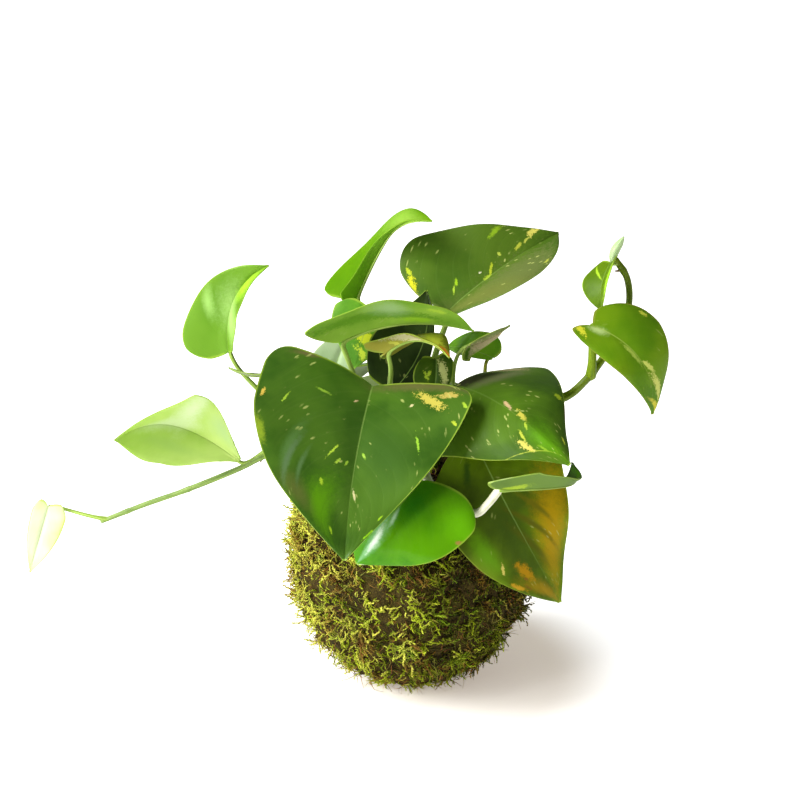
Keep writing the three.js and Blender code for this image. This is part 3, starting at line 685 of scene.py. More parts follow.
def bindingThread():
    count = thread["turns"] * thread["steps"] + 1
    share = np.linspace(0, 1, count)
    angle = 2 * math.pi * thread["turns"] * share
    height = blendOf(thread["top"], thread["bottom"], share)
    sine = (height - ball["widest"]) / np.where(height < ball["widest"], ball["below"], ball["above"])
    cosine = np.sqrt(1 - sine ** 2)
    u = np.stack([cosine * np.cos(angle), cosine * np.sin(angle), sine], 1)
    strand = thread["strand"] * np.cos(np.arange(thread["sides"]) * math.pi / 2)
    path = onBall(u, thread["raised"])
    radii = thread["radius"] * (1 + np.array([np.roll(strand, k % thread["sides"]) for k in range(count)]))
    piece = growTube("bindingThread", path, radii, thread["sides"], np.array([0, 0, 1.0]))
    smoothShade(piece)
    paint = Paint("bindingThread")
    around, along = paint.grow()
    strands = paint.add("ShaderNodeTexWave", {"wave_type": "BANDS"}, {
        "Vector": paint.vector(around * 2 + along * 60, 0.0), "Scale": 0.8, "Distortion": 1.0})
    tint = paint.mix(paint.noise(paint.place(), 400, 3), *map(colour, thread["tints"]))
    tint = paint.mix(strands * 0.4, tint, colour(thread["between"]))
    piece.data.materials.append(paint.surface(**{
        "Base Color": tint, "Roughness": 0.9, "Specular IOR Level": 0.1,
        "Normal": paint.bump(strands, 0.6, 0.15)}))
    settle(piece, "binding_thread", "binding_thread")
    print("binding thread")


# The stems

stemFoot = 86
stemForm = {
    "cell": 0.9, "sides": 14, "rib": 0.035, "ripple": 0.03, "swell": 0.2, "swellWidth": 2.2, "scar": 0.12,
    "scarWidth": 0.5, "lowestNub": 116, "nubLength": 2.4, "nubRadius": 0.75, "nubSides": 8, "nubSteps": 7,
    "roughness": (0.34, 0.5), "nubWay": (0.15, 0.2, -1.0),
}
stems = {
    "stemLeft": {
        "radius": (1.7, 1.2), "tints": ("#65803c", "#8ba455"),
        "points": [(-9, -8, stemFoot), (-10, -9, 112), (-17, -16, 129), (-42, -28, 136), (-70.8, -30, 127),
                   (-79, -30, 122.5), (-106, -30, 110.8), (-128, -28, 102), (-149, -25, 92.4)],
        "joints": (0.36, 0.56, 0.76, 0.93),
    },
    "stemRight": {
        "radius": (2.6, 1.5), "tints": ("#52680a", "#72880c"),
        "points": [(11, 5, stemFoot), (12, 5, 112), (20, 6, 129), (46, 6, 143), (74, -3, 148),
                   (83.6, -5, 156.9), (91.6, 0, 165.4), (101, 6, 180), (105, 8, 191.7), (103.8, 10, 204.1),
                   (98.2, 10, 213)],
        "joints": (0.26, 0.345, 0.56, 0.665, 0.97),
    },
    "stemBackLeft": {
        "radius": (2.4, 1.8), "tints": ("#6f9030", "#8fae46"),
        "points": [(-10, 8, stemFoot), (-11, 8, 112), (-20, 6, 132), (-44, 2, 138), (-66, -3, 138)],
        "joints": (0.42, 0.62, 0.9),
    },
    "stemFront": {
        "radius": (2.3, 1.9), "tints": ("#c6c8a8", "#f0eedc"),
        "points": [(5, -12, stemFoot), (5.5, -13, 112), (7, -28, 127), (6, -45, 125), (15, -56, 113),
                   (29.4, -60, 110.4), (34.5, -64, 116.5), (39.8, -66, 124.8)],
        "joints": (0.36, 0.5, 0.8),
    },
    "stemMiddle": {
        "radius": (2.6, 2), "tints": ("#6f9030", "#8fae46"),
        "points": [(-3, -1, stemFoot), (-3.5, -2, 112), (-6, -5, 130), (-11, -6, 150)],
        "joints": (0.7, 0.8, 0.92),
    },
    "stemMiddleRight": {
        "radius": (2.6, 2), "tints": ("#6f9030", "#8fae46"),
        "points": [(5, 10, stemFoot), (5.5, 10, 112), (8, 10, 130), (10, 12, 148)],
        "joints": (0.75, 0.88),
    },
    "stemBack": {
        "radius": (2.3, 1.8), "tints": ("#6f9030", "#8fae46"),
        "points": [(-4, 15, stemFoot), (-4.5, 16, 112), (-4, 28, 128), (0, 44, 134), (8, 58, 130)],
        "joints": (0.5, 0.72, 0.95),
    },
}


def curveThrough(points, count):  # an even run of places on a smooth curve through the points
    points = np.array(points, float)
    ends = np.vstack([2 * points[0] - points[1], points, 2 * points[-1] - points[-2]])
    places = []
    for k in range(1, len(ends) - 2):
        p0, p1, p2, p3 = ends[k - 1:k + 3]
        d0, d1, d2 = (np.linalg.norm(b - a) ** 0.5 for a, b in ((p0, p1), (p1, p2), (p2, p3)))
        m1 = d1 * ((p1 - p0) / d0 - (p2 - p0) / (d0 + d1) + (p2 - p1) / d1)
        m2 = d1 * ((p2 - p1) / d1 - (p3 - p1) / (d1 + d2) + (p3 - p2) / d2)
        t = np.linspace(0, 1, 60, endpoint=k == len(ends) - 3)[:, None]
        places.append(p1 + m1 * t + (3 * p2 - 3 * p1 - 2 * m1 - m2) * t ** 2
                      + (2 * p1 - 2 * p2 + m1 + m2) * t ** 3)
    dense = np.vstack(places)
    length = np.concatenate([[0], np.cumsum(np.linalg.norm(np.diff(dense, axis=0), axis=1))])
    even = np.linspace(0, length[-1], count)
    return np.stack([np.interp(even, length, dense[:, axis]) for axis in range(3)], 1), length[-1]


def stemMaterial(name, tints, marks=0.5):
    paint = Paint(name)
    around, along = paint.grow()
    at = paint.place()
    streak = paint.noise(paint.vector(around * 9, along * 6), 1.0, 3, 0.6)
    broad = paint.noise(at, 70, 2)
    speck = paint.noise(at, 700, 3, 0.65)
    tint = paint.mix(streak.band(0.35, 0.65), colour(tints[0]), colour(tints[1]))
    tint = paint.mix(broad.band(0.55, 0.75) * 0.35, tint, colour("#5f7426"))
    tint = paint.mix(speck.band(0.62, 0.72) * marks, tint, colour("#6b4a22"))
    smoothest, roughest = stemForm["roughness"]
    return paint.surface("#a8cf4a", 0.12, **{
        "Base Color": tint, "Roughness": streak * (roughest - smoothest) + smoothest,
        "Specular IOR Level": 0.2, "Normal": paint.bump(streak, 0.25, 0.3)})


def makeNub(name, path, radius, joint):  # a short aerial root under a joint, if that is out of the soil
    k = min(int(joint * len(path)), len(path) - 2)
    if path[k][2] < stemForm["lowestNub"]:
        return None
    ahead, away = unit(path[k + 1] - path[k]), np.array(stemForm["nubWay"])
    down = unit(away - ahead * (away @ ahead))
    root = path[k] + down * radius[k] * 0.7
    reach = stemForm["nubLength"] * (0.8 + 0.5 * math.sin(7 * joint))
    steps = stemForm["nubSteps"]
    run = [root + down * reach * t + ahead * reach * 0.3 * t * t for t in np.linspace(0, 1, steps)]
    nub = growTube(name + "Nub", run, stemForm["nubRadius"] * np.linspace(1.15, 0.45, steps),
                   stemForm["nubSides"], ahead)
    nub.data.materials.append(bpy.data.materials["rootNub"])
    return nub


def makeStems():
    for name, stem in stems.items():
        length = curveThrough(stem["points"], 2)[1]
        path, length = curveThrough(stem["points"], int(length / stemForm["cell"]))
        share = np.linspace(0, 1, len(path))
        radius = blendOf(*stem["radius"], share)
        ripple = 1 + stemForm["ripple"] * cloudAt(path, 9, 31)
        for joint in stem["joints"]:
            near = (share - joint) * length
            ripple += stemForm["swell"] * np.exp(-(near / stemForm["swellWidth"]) ** 2)
            ripple -= stemForm["scar"] * np.exp(-((near - 0.6) / stemForm["scarWidth"]) ** 2)
        sides = stemForm["sides"]
        rib = 1 + stemForm["rib"] * np.cos(np.arange(sides) * 2 * math.pi * 4 / sides)
        radii = (radius * ripple)[:, None] * rib[None]
        piece = growTube(name, path, radii, sides, np.array([0.1, -1, 0.2]))
        piece.data.materials.append(stemMaterial(name, stem["tints"]))
        nubs = [makeNub(name, path, radius, joint) for joint in stem["joints"]]
        joinInto(piece, *[nub for nub in nubs if nub])
        smoothShade(piece)
        settle(piece, nodeOf(name), nodeOf(name))
    print("stems", len(stems))


# The leaves

bladeForm = {
    "thickness": 0.75, "tipHalf": 0.5, "start": (0.77, 0.77), "widest": (0.14, 0.14), "taper": (1.9, 1.9),
    "lobePeak": 0.8, "lobeLength": 0.4, "round": (0.3, 0.3), "roundLength": 0.4, "arch": 0, "bow": 0,
    "curl": 0, "twist": 0, "wave": 0, "cell": 1.4, "crowding": 1.15, "quilt": 0.06, "sway": 0.3, "veins": 9,
    "marks": (),  # x, y, turn, half length and half width of an oval on the flat leaf, tint and softness
    "sheen": (),  # an oval in the same way, and how strong its gloss is
}
leafLook = {
    "dark": "#42682a", "light": "#5c8234", "under": "#8b9c62", "underShare": 0.6, "vein": "#8fae58",
    "veinShare": 0.035, "rib": "#88a851", "ribShare": 0.5, "rim": "#9dbb3c", "rimShare": 0.7,
    "flecks": 0.35, "fleck": "#c4cf74", "mottleShare": 0.25, "stripeShare": 0.13, "hairShare": 0.03,
    "glow": "#7fb81c", "glowShare": 0.12, "rough": 0.42, "gloss": 0.12, "coat": 0.04, "coatRough": 0.2,
    "stalk": ("#7d9a3a", "#a3bf58"), "stalkMarks": 0.25,
}
stalkForm = {"sides": 10, "groove": 0.16, "taper": (1.15, 0.8), "foot": 0.22, "collar": 0.1, "ribTip": 0.22}
leaves = {
    "leafFrontLarge": {
        "base": (-18.5, -30, 161.7), "tip": (-30.9, -90.9, 99.2), "face": (0.27, -0.72, 0.64),
        "half": (48, 51.2), "fold": (25, -1), "cup": (0, -8), "arch": 7.2, "bow": 3.3, "twist": -10,
        "curl": 2.8, "lobe": (4.7, 8.1), "lobePeak": 0.89, "round": (0.24, 0.25), "start": (0.86, 1),
        "widest": (0.03, 0.28), "taper": (1.64, 1.73), "wave": 1.2, "stem": "stemMiddle", "at": 0.8,
        "rise": (-0.3, -0.6, 1), "arrive": (0.1, 1), "stalk": 1.8,
        "look": {"flecks": 0.6, "coatRough": 0.22, "coat": 0.12, "dark": "#345913", "light": "#4a6f1d"},
        "marks": [
            # the grey-green oval #567c3c and the grey-green streaks #5f7d50 and #587a44 are a painted sheen
            (35.8, 43.6, 55, 12.4, 2, "#567c3c", 1), (26.6, 66.2, 38, 15.1, 6.5, "#5f9a0c", 1),
            (49.5, 38.5, 94, 4.5, 2.1, "#8faa2c", 0.7), (40.3, 61.5, 83, 6.3, 6.7, "#5c6a2c", 1),
            (-29.1, 1.5, -179, 23.3, 2.4, "#686838", 0.9), (33.1, 1.2, -173, 6.9, 1, "#6d6b3a", 0.8),
            (-18.3, 38, -34, 17.6, 9.6, "#3f6420", 1), (-31.6, 9.4, 157, 8.2, 2.1, "#c8bc50", 0.15),
            (-39.5, 6.2, -172, 4.6, 1.4, "#c4b257", 0.2), (-48.8, 10.5, 143, 1.8, 0.8, "#a8cc3a", 0.3),
            (-47.8, 19.1, 154, 1.5, 0.6, "#b8cc3a", 0.3), (-22.6, 12.2, -153, 1, 0.7, "#d0c890", 0.3),
            (-34.1, 30.3, 129, 4.6, 0.6, "#98cc3a", 0.3), (-5, 39.3, 134, 1.9, 0.7, "#90c038", 0.3),
            (-43.9, 67.9, -56, 1.2, 1.4, "#9ccc28", 0.3), (-47.2, 76.2, -156, 3.1, 2.1, "#8fd020", 0.4),
            (37.5, 22.3, -117, 2.4, 0.5, "#a8cf3c", 0.3), (48, 22.3, -110, 1.9, 0.8, "#e0c050", 0.3),
            (5.7, 13, -145, 1, 0.6, "#e0c090", 0.3), (12.7, 40.3, -130, 4.2, 0.5, "#b8dc40", 0.2),
            (9.7, 44.6, -134, 1.9, 0.7, "#a8cc40", 0.3), (4.8, 44.4, -128, 1.5, 0.6, "#98c038", 0.3),
            (19.9, 55.3, 102, 1.5, 1.1, "#a8cc30", 0.3), (-3.4, 58.4, 127, 2.6, 0.9, "#c9c48a", 0.3),
            (25.2, 76.3, 37, 2.7, 1.2, "#a0cc28", 0.3), (20.9, 14.6, 174, 3.2, 0.5, "#90b838", 0.5),
            (37.3, 47.8, 49, 10.9, 1.1, "#5f7d50", 1), (31.4, 50.4, 52, 8.1, 0.9, "#587a44", 1),
        ],
    },
    "leafRightLarge": {
        "base": (21.2, -12, 156.6), "tip": (71, -67.2, 136.3), "face": (-0.1, -0.42, 0.9),
        "half": (45.5, 39.3), "fold": (-1, -9), "cup": (-33, -25), "arch": 9.2, "bow": 0.4, "twist": 5,
        "curl": 0.3, "lobe": (2.2, 8.9), "lobePeak": 0.75, "round": (0.43, 0.16), "start": (0.76, 0.75),
        "widest": (0.19, 0.14), "taper": (1.48, 1.59), "wave": 1, "stem": "stemMiddleRight", "at": 0.75,
        "rise": (0.4, -0.7, 1), "arrive": (0.1, 1), "stalk": 1.7,
        "look": {"ribShare": 0.2, "flecks": 0.65, "dark": "#3a5b10", "light": "#517517"},
        "marks": [
            (-10.2, 4.4, 161, 14.4, 7.2, "#2c2a18", 0.35), (-17, 13.5, 170, 11.8, 3.2, "#7d8556", 1),
            (-28.7, 7.6, 131, 7, 3.5, "#a8a070", 0.5), (-2.1, 35.7, 75, 3.1, 1.2, "#cdb080", 0.3),
            (-2.5, 45.1, 73, 3.7, 1.9, "#d0c850", 0.2), (2.1, 50.2, 37, 3.1, 0.8, "#b8cc40", 0.3),
            (12.8, 52.7, 40, 3.5, 1.1, "#c4cc48", 0.3), (22.8, 58.1, 41, 6, 2.6, "#d6ca60", 0.15),
            (13.5, 64.3, 74, 2.3, 2.1, "#a0c438", 0.4), (-1.7, 67.3, 37, 3.8, 1.6, "#a8c838", 0.4),
            (-30.3, 66.4, 153, 2.4, 1.6, "#c0d040", 0.3), (-40, 45.1, 146, 3.7, 1.4, "#a0b828", 0.4),
            (45.4, 41, 90, 13.9, 0.5, "#a0b03c", 0.6), (17.7, 65.1, 159, 29.6, 0.4, "#a8b83c", 0.6),
            (-0.7, 63.7, 94, 10, 14.3, "#5c9610", 1), (-45.3, 54.3, 93, 4.4, 1.5, "#5a3c1c", 0.6),
        ],
    },
    "leafRightYellowing": {
        "base": (31, -43.5, 135.1), "tip": (70.9, -56.1, 63.6), "face": (0.34, -0.88, 0.34),
        "half": (36.7, 32), "fold": (6, -3), "cup": (5, -10), "arch": 1.8, "bow": 1.9, "twist": -8,
        "curl": -3.3, "lobe": (6, 6), "lobePeak": 0.85, "round": (0.12, 0.35), "start": (0.85, 0.42),
        "widest": (0.06, 0.21), "taper": (1.85, 2.15), "wave": 1, "stem": "stemFront", "at": 0.36,
        "rise": (0.6, 0.1, 1), "arrive": (0.1, 1), "stalk": 1.7,
        "look": {"dark": "#445804", "light": "#6a8a04", "rim": "#96aa32", "glowShare": 0.16},
        "marks": [
            (6.2, 39.2, 80, 21.2, 11.2, "#40560e", 1), (13, 9.2, 73, 4.4, 1.9, "#34520a", 0.7),
            (26.5, 42.5, 81, 9, 4.9, "#68a00a", 1), (-21.9, 49.7, 71, 24, 10.2, "#ac8c04", 0.9),
            (-15.9, 36.7, 128, 9.8, 1.1, "#6a6408", 0.9), (-10.5, 43.5, 132, 14.5, 1.4, "#5c5c0a", 0.9),
            (-2.7, 50.2, 120, 11.7, 2.2, "#545a0a", 0.9), (25.8, 53.1, 40, 4.5, 0.7, "#d8c860", 0.3),
            (14.7, 60, 75, 5, 4.4, "#b4860a", 0.5), (31.7, 64.3, 127, 3.2, 2.6, "#c89a20", 0.4),
            (19.2, 62.9, 76, 1.1, 1.5, "#7a4a20", 0.3), (25.8, 66.8, 55, 1.6, 1.6, "#5a3418", 0.3),
            (13, 73.4, 152, 13.3, 6, "#a08410", 1),
        ],
    },
    "leafFrontLow": {
        "base": (4.5, -58, 125.3), "tip": (-25.4, -69.9, 89.8), "face": (0.01, -0.95, 0.31),
        "half": (34, 20.3), "fold": (34, -26), "cup": (-36, -8), "arch": 7.4, "bow": 1.3, "twist": -11,
        "curl": 2.3, "lobe": (6.3, 4.7), "lobePeak": 0.85, "round": (0.38, 0.15), "start": (0.85, 0.69),
        "widest": (0.12, 0.28), "taper": (2.16, 2.34), "wave": 0.7, "stem": "stemFront", "at": 0.5,
        "rise": (0, -0.5, 1), "arrive": (0.2, 1), "stalk": 1.3,
        "look": {
            "coat": 0.12, "coatRough": 0.13, "dark": "#3f8204", "light": "#5b9c04", "rough": 0.26,
            "gloss": 0.1, "glow": "#82c814", "glowShare": 0.2, "flecks": 0,
        },
        "marks": [
            (-4.5, 10.8, -90, 9, 5.4, "#2f7c12", 1), (-27.2, 6.9, 167, 8.8, 4.6, "#6cb80c", 1),
            (-32.7, 12.5, -142, 1.2, 0.8, "#a08040", 0.4), (-29.5, 47.5, -176, 5.3, 1.4, "#c9d8a0", 0.6),
            # the pale green, near-white and whitish-green streaks #7fb57c, #e2f1e0 and #b4d8b0 along the
            # fold are a painted highlight
            (-1.1, 34.5, 105, 12.3, 4.4, "#7fb57c", 1), (-1.9, 33.4, 109, 5.9, 1.9, "#e2f1e0", 0.9),
            (-1.9, 20.7, 107, 3.5, 0.9, "#b4d8b0", 0.9),
        ],
        "sheen": [(-1.9, 32.1, 87, 15.2, 5.6, 0.8)],
    },
    "leafFrontTilted": {
        "base": (41.4, -68, 125.2), "tip": (80.1, -32.4, 117), "face": (-0.41, 0.61, 0.68),
        "half": (6, 15.1), "fold": (22, 4), "cup": (21, 2), "arch": -8, "bow": 11.2, "twist": 10,
        "curl": 8.9, "lobe": (1.6, 7.2), "lobePeak": 0.84, "round": (0.42, 0.19), "start": (0.85, 0.64),
        "widest": (0.54, 0.22), "taper": (2.85, 0.55), "wave": 0.3, "stem": "stemFront", "at": 0.985,
        "rise": (0.7, 0.1, 0.4), "arrive": (1, 0.3), "stalk": 1.1,
        "look": {
            "underShare": 0.25, "dark": "#456412", "light": "#58781c", "under": "#86a060", "glowShare": 0.2,
            "flecks": 0,
        },
        "marks": [
            # the pale grey-green streak #c8d4b0 and the small spot #c4d0a0 beside it are a painted
            # highlight
            (0, 46.2, -20, 18.4, 4.6, "#74b820", 0.8), (15, 2.7, 87, 2.1, 0.4, "#c8d4b0", 0.6),
            (2.5, 5.2, 67, 4.8, 1.9, "#a8c41c", 0.5), (13.9, 0.1, 0, 0.8, 0.4, "#c4d0a0", 0.7),
        ],
    },
    "leafTopLarge": {
        "base": (19.4, 20, 185.9), "tip": (73.7, 46.3, 218.8), "face": (-0.07, -0.72, 0.69),
        "half": (45.7, 26.4), "fold": (-1, 46), "cup": (3, -5), "arch": 2.2, "bow": -1.1, "twist": 15,
        "curl": -1.4, "lobe": (7.2, 7), "lobePeak": 0.73, "round": (0.58, 0.59), "start": (0.8, 0.17),
        "widest": (0.03, 0.45), "taper": (1.31, 2.16), "wave": 1, "stem": "stemMiddleRight", "at": 0.88,
        "rise": (-0.1, 0.5, 1), "arrive": (0.4, 0.9), "stalk": 1.6,
        "look": {"dark": "#406013", "light": "#53711c", "rim": "#6e843c", "flecks": 0.8},
        "marks": [
            (28.5, 33.5, 88, 24.2, 23.2, "#66743a", 0.5), (26.2, 15.8, 33, 25.3, 10.4, "#6a7434", 0.9),
            (-25.5, 1.1, -17, 4.8, 2, "#d0d020", 0.2), (-32.4, 3.3, 0, 2.8, 0.7, "#b8c828", 0.3),
            (-35.8, 41.9, 152, 7.1, 1.2, "#8eb424", 0.5), (-33.6, 57.7, 167, 12.2, 1.8, "#d8d060", 0.2),
            (-44.4, 61.2, 76, 1, 0.4, "#c8cc48", 0.3), (-10.8, 46.8, 150, 3.4, 1.2, "#b8c040", 0.3),
            (-17.3, 52.6, 156, 4.5, 0.8, "#c0c850", 0.3), (-11.7, 36.6, -4, 1.4, 0.7, "#c0d050", 0.3),
            (-4.1, 28.6, -35, 4.5, 0.7, "#b8c830", 0.3), (-0.1, 23.9, -80, 2.1, 1.6, "#a8c030", 0.3),
            (-9.9, 13.1, -33, 2.1, 0.5, "#98c020", 0.4), (-6.7, 9.5, -41, 2.2, 0.4, "#a8c838", 0.4),
            (-6.2, 23.3, 37, 0.7, 0.7, "#d8d8b0", 0.3), (40.2, 48.7, 56, 1.9, 1.4, "#b0b84c", 0.3),
        ],
    },
    "leafTopBright": {
        "base": (-27.7, 32, 186.9), "tip": (1.9, 13.8, 237.7), "face": (-0.72, 0.4, 0.56),
        "half": (27, 10.9), "fold": (58, 41), "cup": (-9, -5), "arch": 7.4, "bow": -11.9, "twist": -45,
        "curl": -10.6, "lobe": (0, 3.1), "lobePeak": 0.79, "round": (0.2, 0.19), "start": (0.83, 0.87),
        "widest": (0.03, 0.03), "taper": (1.79, 0.55), "wave": 0.5, "stem": "stemBackLeft", "at": 0.42,
        "rise": (0, 1, 0.7), "arrive": (0.3, 0.9), "stalk": 1.3,
        "look": {
            "underShare": 0.2, "dark": "#5a8a04", "light": "#6d9a08", "under": "#96b950", "glow": "#a0d214",
            "glowShare": 0.45, "flecks": 0, "coat": 0, "gloss": 0.08, "rough": 0.5,
        },
        "marks": [
            (-7.5, 43.6, 27, 21.8, 8.8, "#9cc448", 1),
        ],
    },
    "leafTopLevel": {
        "base": (-33.4, -18, 180.3), "tip": (29, -23, 186.2), "face": (-0.08, 0.19, 0.98),
        "half": (25.7, 24.5), "fold": (20, 37), "cup": (-18, -18), "arch": 6.5, "bow": 1.3, "twist": -12,
        "curl": 0.5, "lobe": (8.1, 9.5), "lobePeak": 0.81, "round": (0.21, 0.18), "start": (0.78, 1),
        "widest": (0.11, 0.18), "taper": (1.62, 2.41), "wave": 0.6, "stem": "stemBackLeft", "at": 0.52,
        "rise": (-0.2, -0.4, 1), "arrive": (0.1, 1), "stalk": 1.4,
        "look": {
            "underShare": 0.12, "dark": "#6a9e1c", "light": "#93bd3c", "glow": "#96cd28", "glowShare": 0.25,
            "flecks": 0.25,
        },
        "marks": [
            # the pale grey-green oval #a4c684 is a painted sheen
            (11.8, 23.3, 104, 24.3, 4.3, "#5f9410", 0.35), (17.2, 26.5, 137, 6.8, 5.1, "#a4c684", 1),
            (18.1, 45.9, 77, 3.6, 2.7, "#b8d840", 0.4), (4.2, 36.5, 92, 6.6, 2.2, "#98cc20", 0.6),
        ],
    },
    "leafCreamEdged": {
        "base": (-11.8, -15, 174.2), "tip": (17, -43.5, 179.6), "face": (0.02, 0.2, 0.98),
        "half": (19.6, 12.8), "fold": (22, 41), "cup": (-28, -22), "arch": 7, "bow": -1.3, "twist": -2,
        "curl": 0.2, "lobe": (10.2, 5.1), "lobePeak": 0.82, "round": (0.3, 0.19), "start": (0.71, 0.81),
        "widest": (0.12, 0.03), "taper": (1.67, 0.63), "wave": 0.5, "stem": "stemMiddle", "at": 0.98,
        "rise": (0, -0.3, 1), "arrive": (0.1, 1), "stalk": 1.3,
        "look": {"underShare": 0.2, "dark": "#787f12", "light": "#aba130", "glowShare": 0.2},
        "marks": [
            (7.5, 15.8, 156, 13.7, 5.1, "#d8cfa0", 0.3), (-4.3, 26.8, 111, 6.3, 12.7, "#c4cc40", 0.4),
            (5.1, 7.5, 175, 4.2, 1.2, "#d0d048", 0.3), (-4.8, 38.7, 48, 3.7, 14, "#dd7c20", 0.5),
        ],
    },
    "leafDarkUpright": {
        "base": (-8.5, 5, 149.3), "tip": (7.5, 18.5, 196), "face": (0.16, -0.96, 0.22), "half": (24.8, 6.2),
        "fold": (-2, 8), "cup": (6, 9), "arch": 3.1, "bow": 6.1, "twist": -9, "lobe": (3.8, 5),
        "lobePeak": 0.78, "round": (0.3, 0.36), "start": (0.67, 0.62), "widest": (0.31, 0.22),
        "taper": (2.44, 1.65), "wave": 0.5, "stem": "stemMiddle", "at": 0.9, "rise": (0.1, 0.7, 0.7),
        "arrive": (1, 0.2), "stalk": 1.3,
        # a dark green leaf whose near-black tints also paint the deep shade that it stands in
        "look": {
            "dark": "#1a280c", "light": "#2d4013", "under": "#3c4e2c", "vein": "#5a703c", "glowShare": 0.04,
            "ribShare": 0.7,
        },
    },
    "leafMiddleVariegated": {
        "base": (-19.1, 17, 184.7), "tip": (-28.1, 14, 157.5), "face": (-0.1, -0.88, 0.45),
        "half": (12, 19), "fold": (4, 4), "cup": (-10, -10), "arch": 3, "lobe": (4, 4), "wave": 0.5,
        "stem": "stemMiddle", "at": 0.7, "rise": (-0.5, 0.9, 0.8), "arrive": (0, 1), "stalk": 1.2,
        "look": {"dark": "#4a841a", "light": "#6ea826"},
        "marks": [
            (-2.2, 12.4, 173, 6.7, 2.8, "#d0dc30", 0.2), (-6.1, 20.3, 164, 8.7, 2.1, "#c4d838", 0.25),
        ],
    },
    "leafMiddlePale": {
        "base": (-38.3, 22, 153.1), "tip": (-31, 28, 172), "face": (-0.2, -0.9, 0.3), "half": (13, 10),
        "fold": (8, 8), "cup": (0, 0), "arch": 1, "lobe": (3, 3), "wave": 0.3, "stem": "stemBackLeft",
        "at": 0.62, "rise": (0.1, 0.8, 0.6), "arrive": (1, 0.2), "stalk": 1.1,
        "look": {"dark": "#9db888", "light": "#b9cfa4", "under": "#b4c69c", "flecks": 0, "rim": "#c8d6aa"},
    },
    "leafRightFolded": {
        "base": (28, 8, 170.9), "tip": (48.5, 17.8, 178.4), "face": (0.25, -0.86, 0.45), "half": (3.4, 7.8),
        "fold": (37, 5), "cup": (2, -1), "arch": -1.5, "bow": 1.4, "lobe": (0, 6.3), "lobePeak": 0.87,
        "round": (0.47, 0.02), "start": (0.47, 1), "widest": (0.49, 0.05), "taper": (2.11, 0.4),
        "wave": 0.4, "stem": "stemRight", "at": 0.26, "rise": (-0.1, 0.5, 1), "arrive": (0.3, 1),
        "stalk": 1.1,
        "look": {"underShare": 0.2, "dark": "#7f9048", "light": "#a0aa6a"},
        "marks": [
            (4.2, 13.2, 71, 11.7, 6.1, "#cfc294", 0.4), (4.5, 1.2, -9, 3.9, 1.1, "#4f7414", 0.35),
        ],
    },
    "leafRightSmall": {
        "base": (40.5, 22, 160.3), "tip": (18.1, 35.9, 161.5), "face": (-0.44, -0.75, 0.5),
        "half": (4, 11.6), "fold": (4, 12), "cup": (-28, -14), "arch": 6.1, "bow": 0.9, "twist": 1,
        "curl": 0.6, "lobe": (0, 2.7), "lobePeak": 0.78, "round": (0.7, 0.57), "start": (0.56, 0.74),
        "widest": (0.54, 0.08), "taper": (2.09, 1.54), "wave": 0.3, "stem": "stemRight", "at": 0.34,
        "rise": (0.3, 0.3, 1), "arrive": (-0.5, 0.8), "stalk": 1.1,
        "look": {"stalk": ("#7d8a20", "#a0a030"), "dark": "#53880e", "light": "#6a9a1c", "flecks": 0.1},
    },
    "leafMiddleHanging": {
        "base": (12, 2, 165.5), "tip": (9.4, -5.1, 143.1), "face": (0.03, -0.95, 0.3), "half": (8.3, 11.2),
        "fold": (3, 0), "cup": (-10, -12), "arch": 1.8, "bow": -0.9, "twist": 5, "curl": -0.9,
        "lobe": (3.4, 2), "lobePeak": 0.82, "round": (0.28, 0.29), "start": (0.68, 0.66),
        "widest": (0.12, 0.37), "taper": (1.95, 1.91), "wave": 0.4, "stem": "stemMiddleRight", "at": 0.98,
        "rise": (0.2, -0.1, 1), "arrive": (0.1, 1), "stalk": 1.1,
        "look": {"dark": "#274306", "light": "#4e6f15"},
        "marks": [
            (4.8, 8.4, 119, 2.5, 0.7, "#b0cc38", 0.3), (3.6, 7.3, 68, 1.8, 0.7, "#b0cc38", 0.3),
            (-5.3, 7.3, 121, 6, 2.1, "#c8d080", 0.3),
        ],
    },
    "leafFarRight": {
        "base": (86, -10, 185.8), "tip": (116.8, -14, 142.3), "face": (0.15, -0.97, 0.2),
        "half": (20.6, 12.9), "fold": (4, 10), "cup": (-23, -7), "arch": 2.4, "bow": -8.7, "twist": -20,
        "curl": -5, "lobe": (2, 9.6), "lobePeak": 0.89, "round": (0.39, 0.43), "start": (0.5, 0.61),
        "widest": (0.39, 0.32), "taper": (1.32, 2.01), "wave": 0.6, "stem": "stemRight", "at": 0.66,
        "rise": (0.1, -0.2, 1), "arrive": (0, 1), "stalk": 2.1,
        "look": {
            "stalk": ("#5f7a0c", "#7d960f"), "coat": 0.12, "dark": "#588306", "light": "#71950e",
            "glow": "#8cc31e", "glowShare": 0.22, "rib": "#aac454", "rim": "#96963c",
        },
        "marks": [
            (-18.1, 14.5, 85, 1.5, 0.9, "#d0d848", 0.3), (9.9, 1.9, 28, 4.2, 1.4, "#d8d838", 0.3),
            (2.3, 4.6, 138, 2.6, 2.9, "#b8d080", 0.9), (-3.2, 31.7, 124, 4.4, 1.2, "#d0d868", 0.3),
            (-8.8, 42.3, 136, 8.3, 2.3, "#d8dc70", 0.3), (1.8, 21.6, 88, 5.6, 1.3, "#b0c850", 0.5),
            (-6, 49.2, 168, 15.5, 1.4, "#d8d040", 0.6),
        ],
    },
    "leafFarRightYoung": {
        "base": (95.5, 7, 212.1), "tip": (90.3, -3.6, 191.6), "face": (-0.34, -0.64, 0.69),
        "half": (7.8, 12.4), "fold": (62, -15), "cup": (-6, -14), "arch": 3.5, "bow": 0.7, "twist": -7,
        "curl": -1, "lobe": (2, 2.2), "lobePeak": 0.84, "round": (0.16, 0.24), "start": (0.73, 0.57),
        "widest": (0.36, 0.42), "taper": (2.17, 2.22), "wave": 0.3, "stem": "stemRight", "at": 0.985,
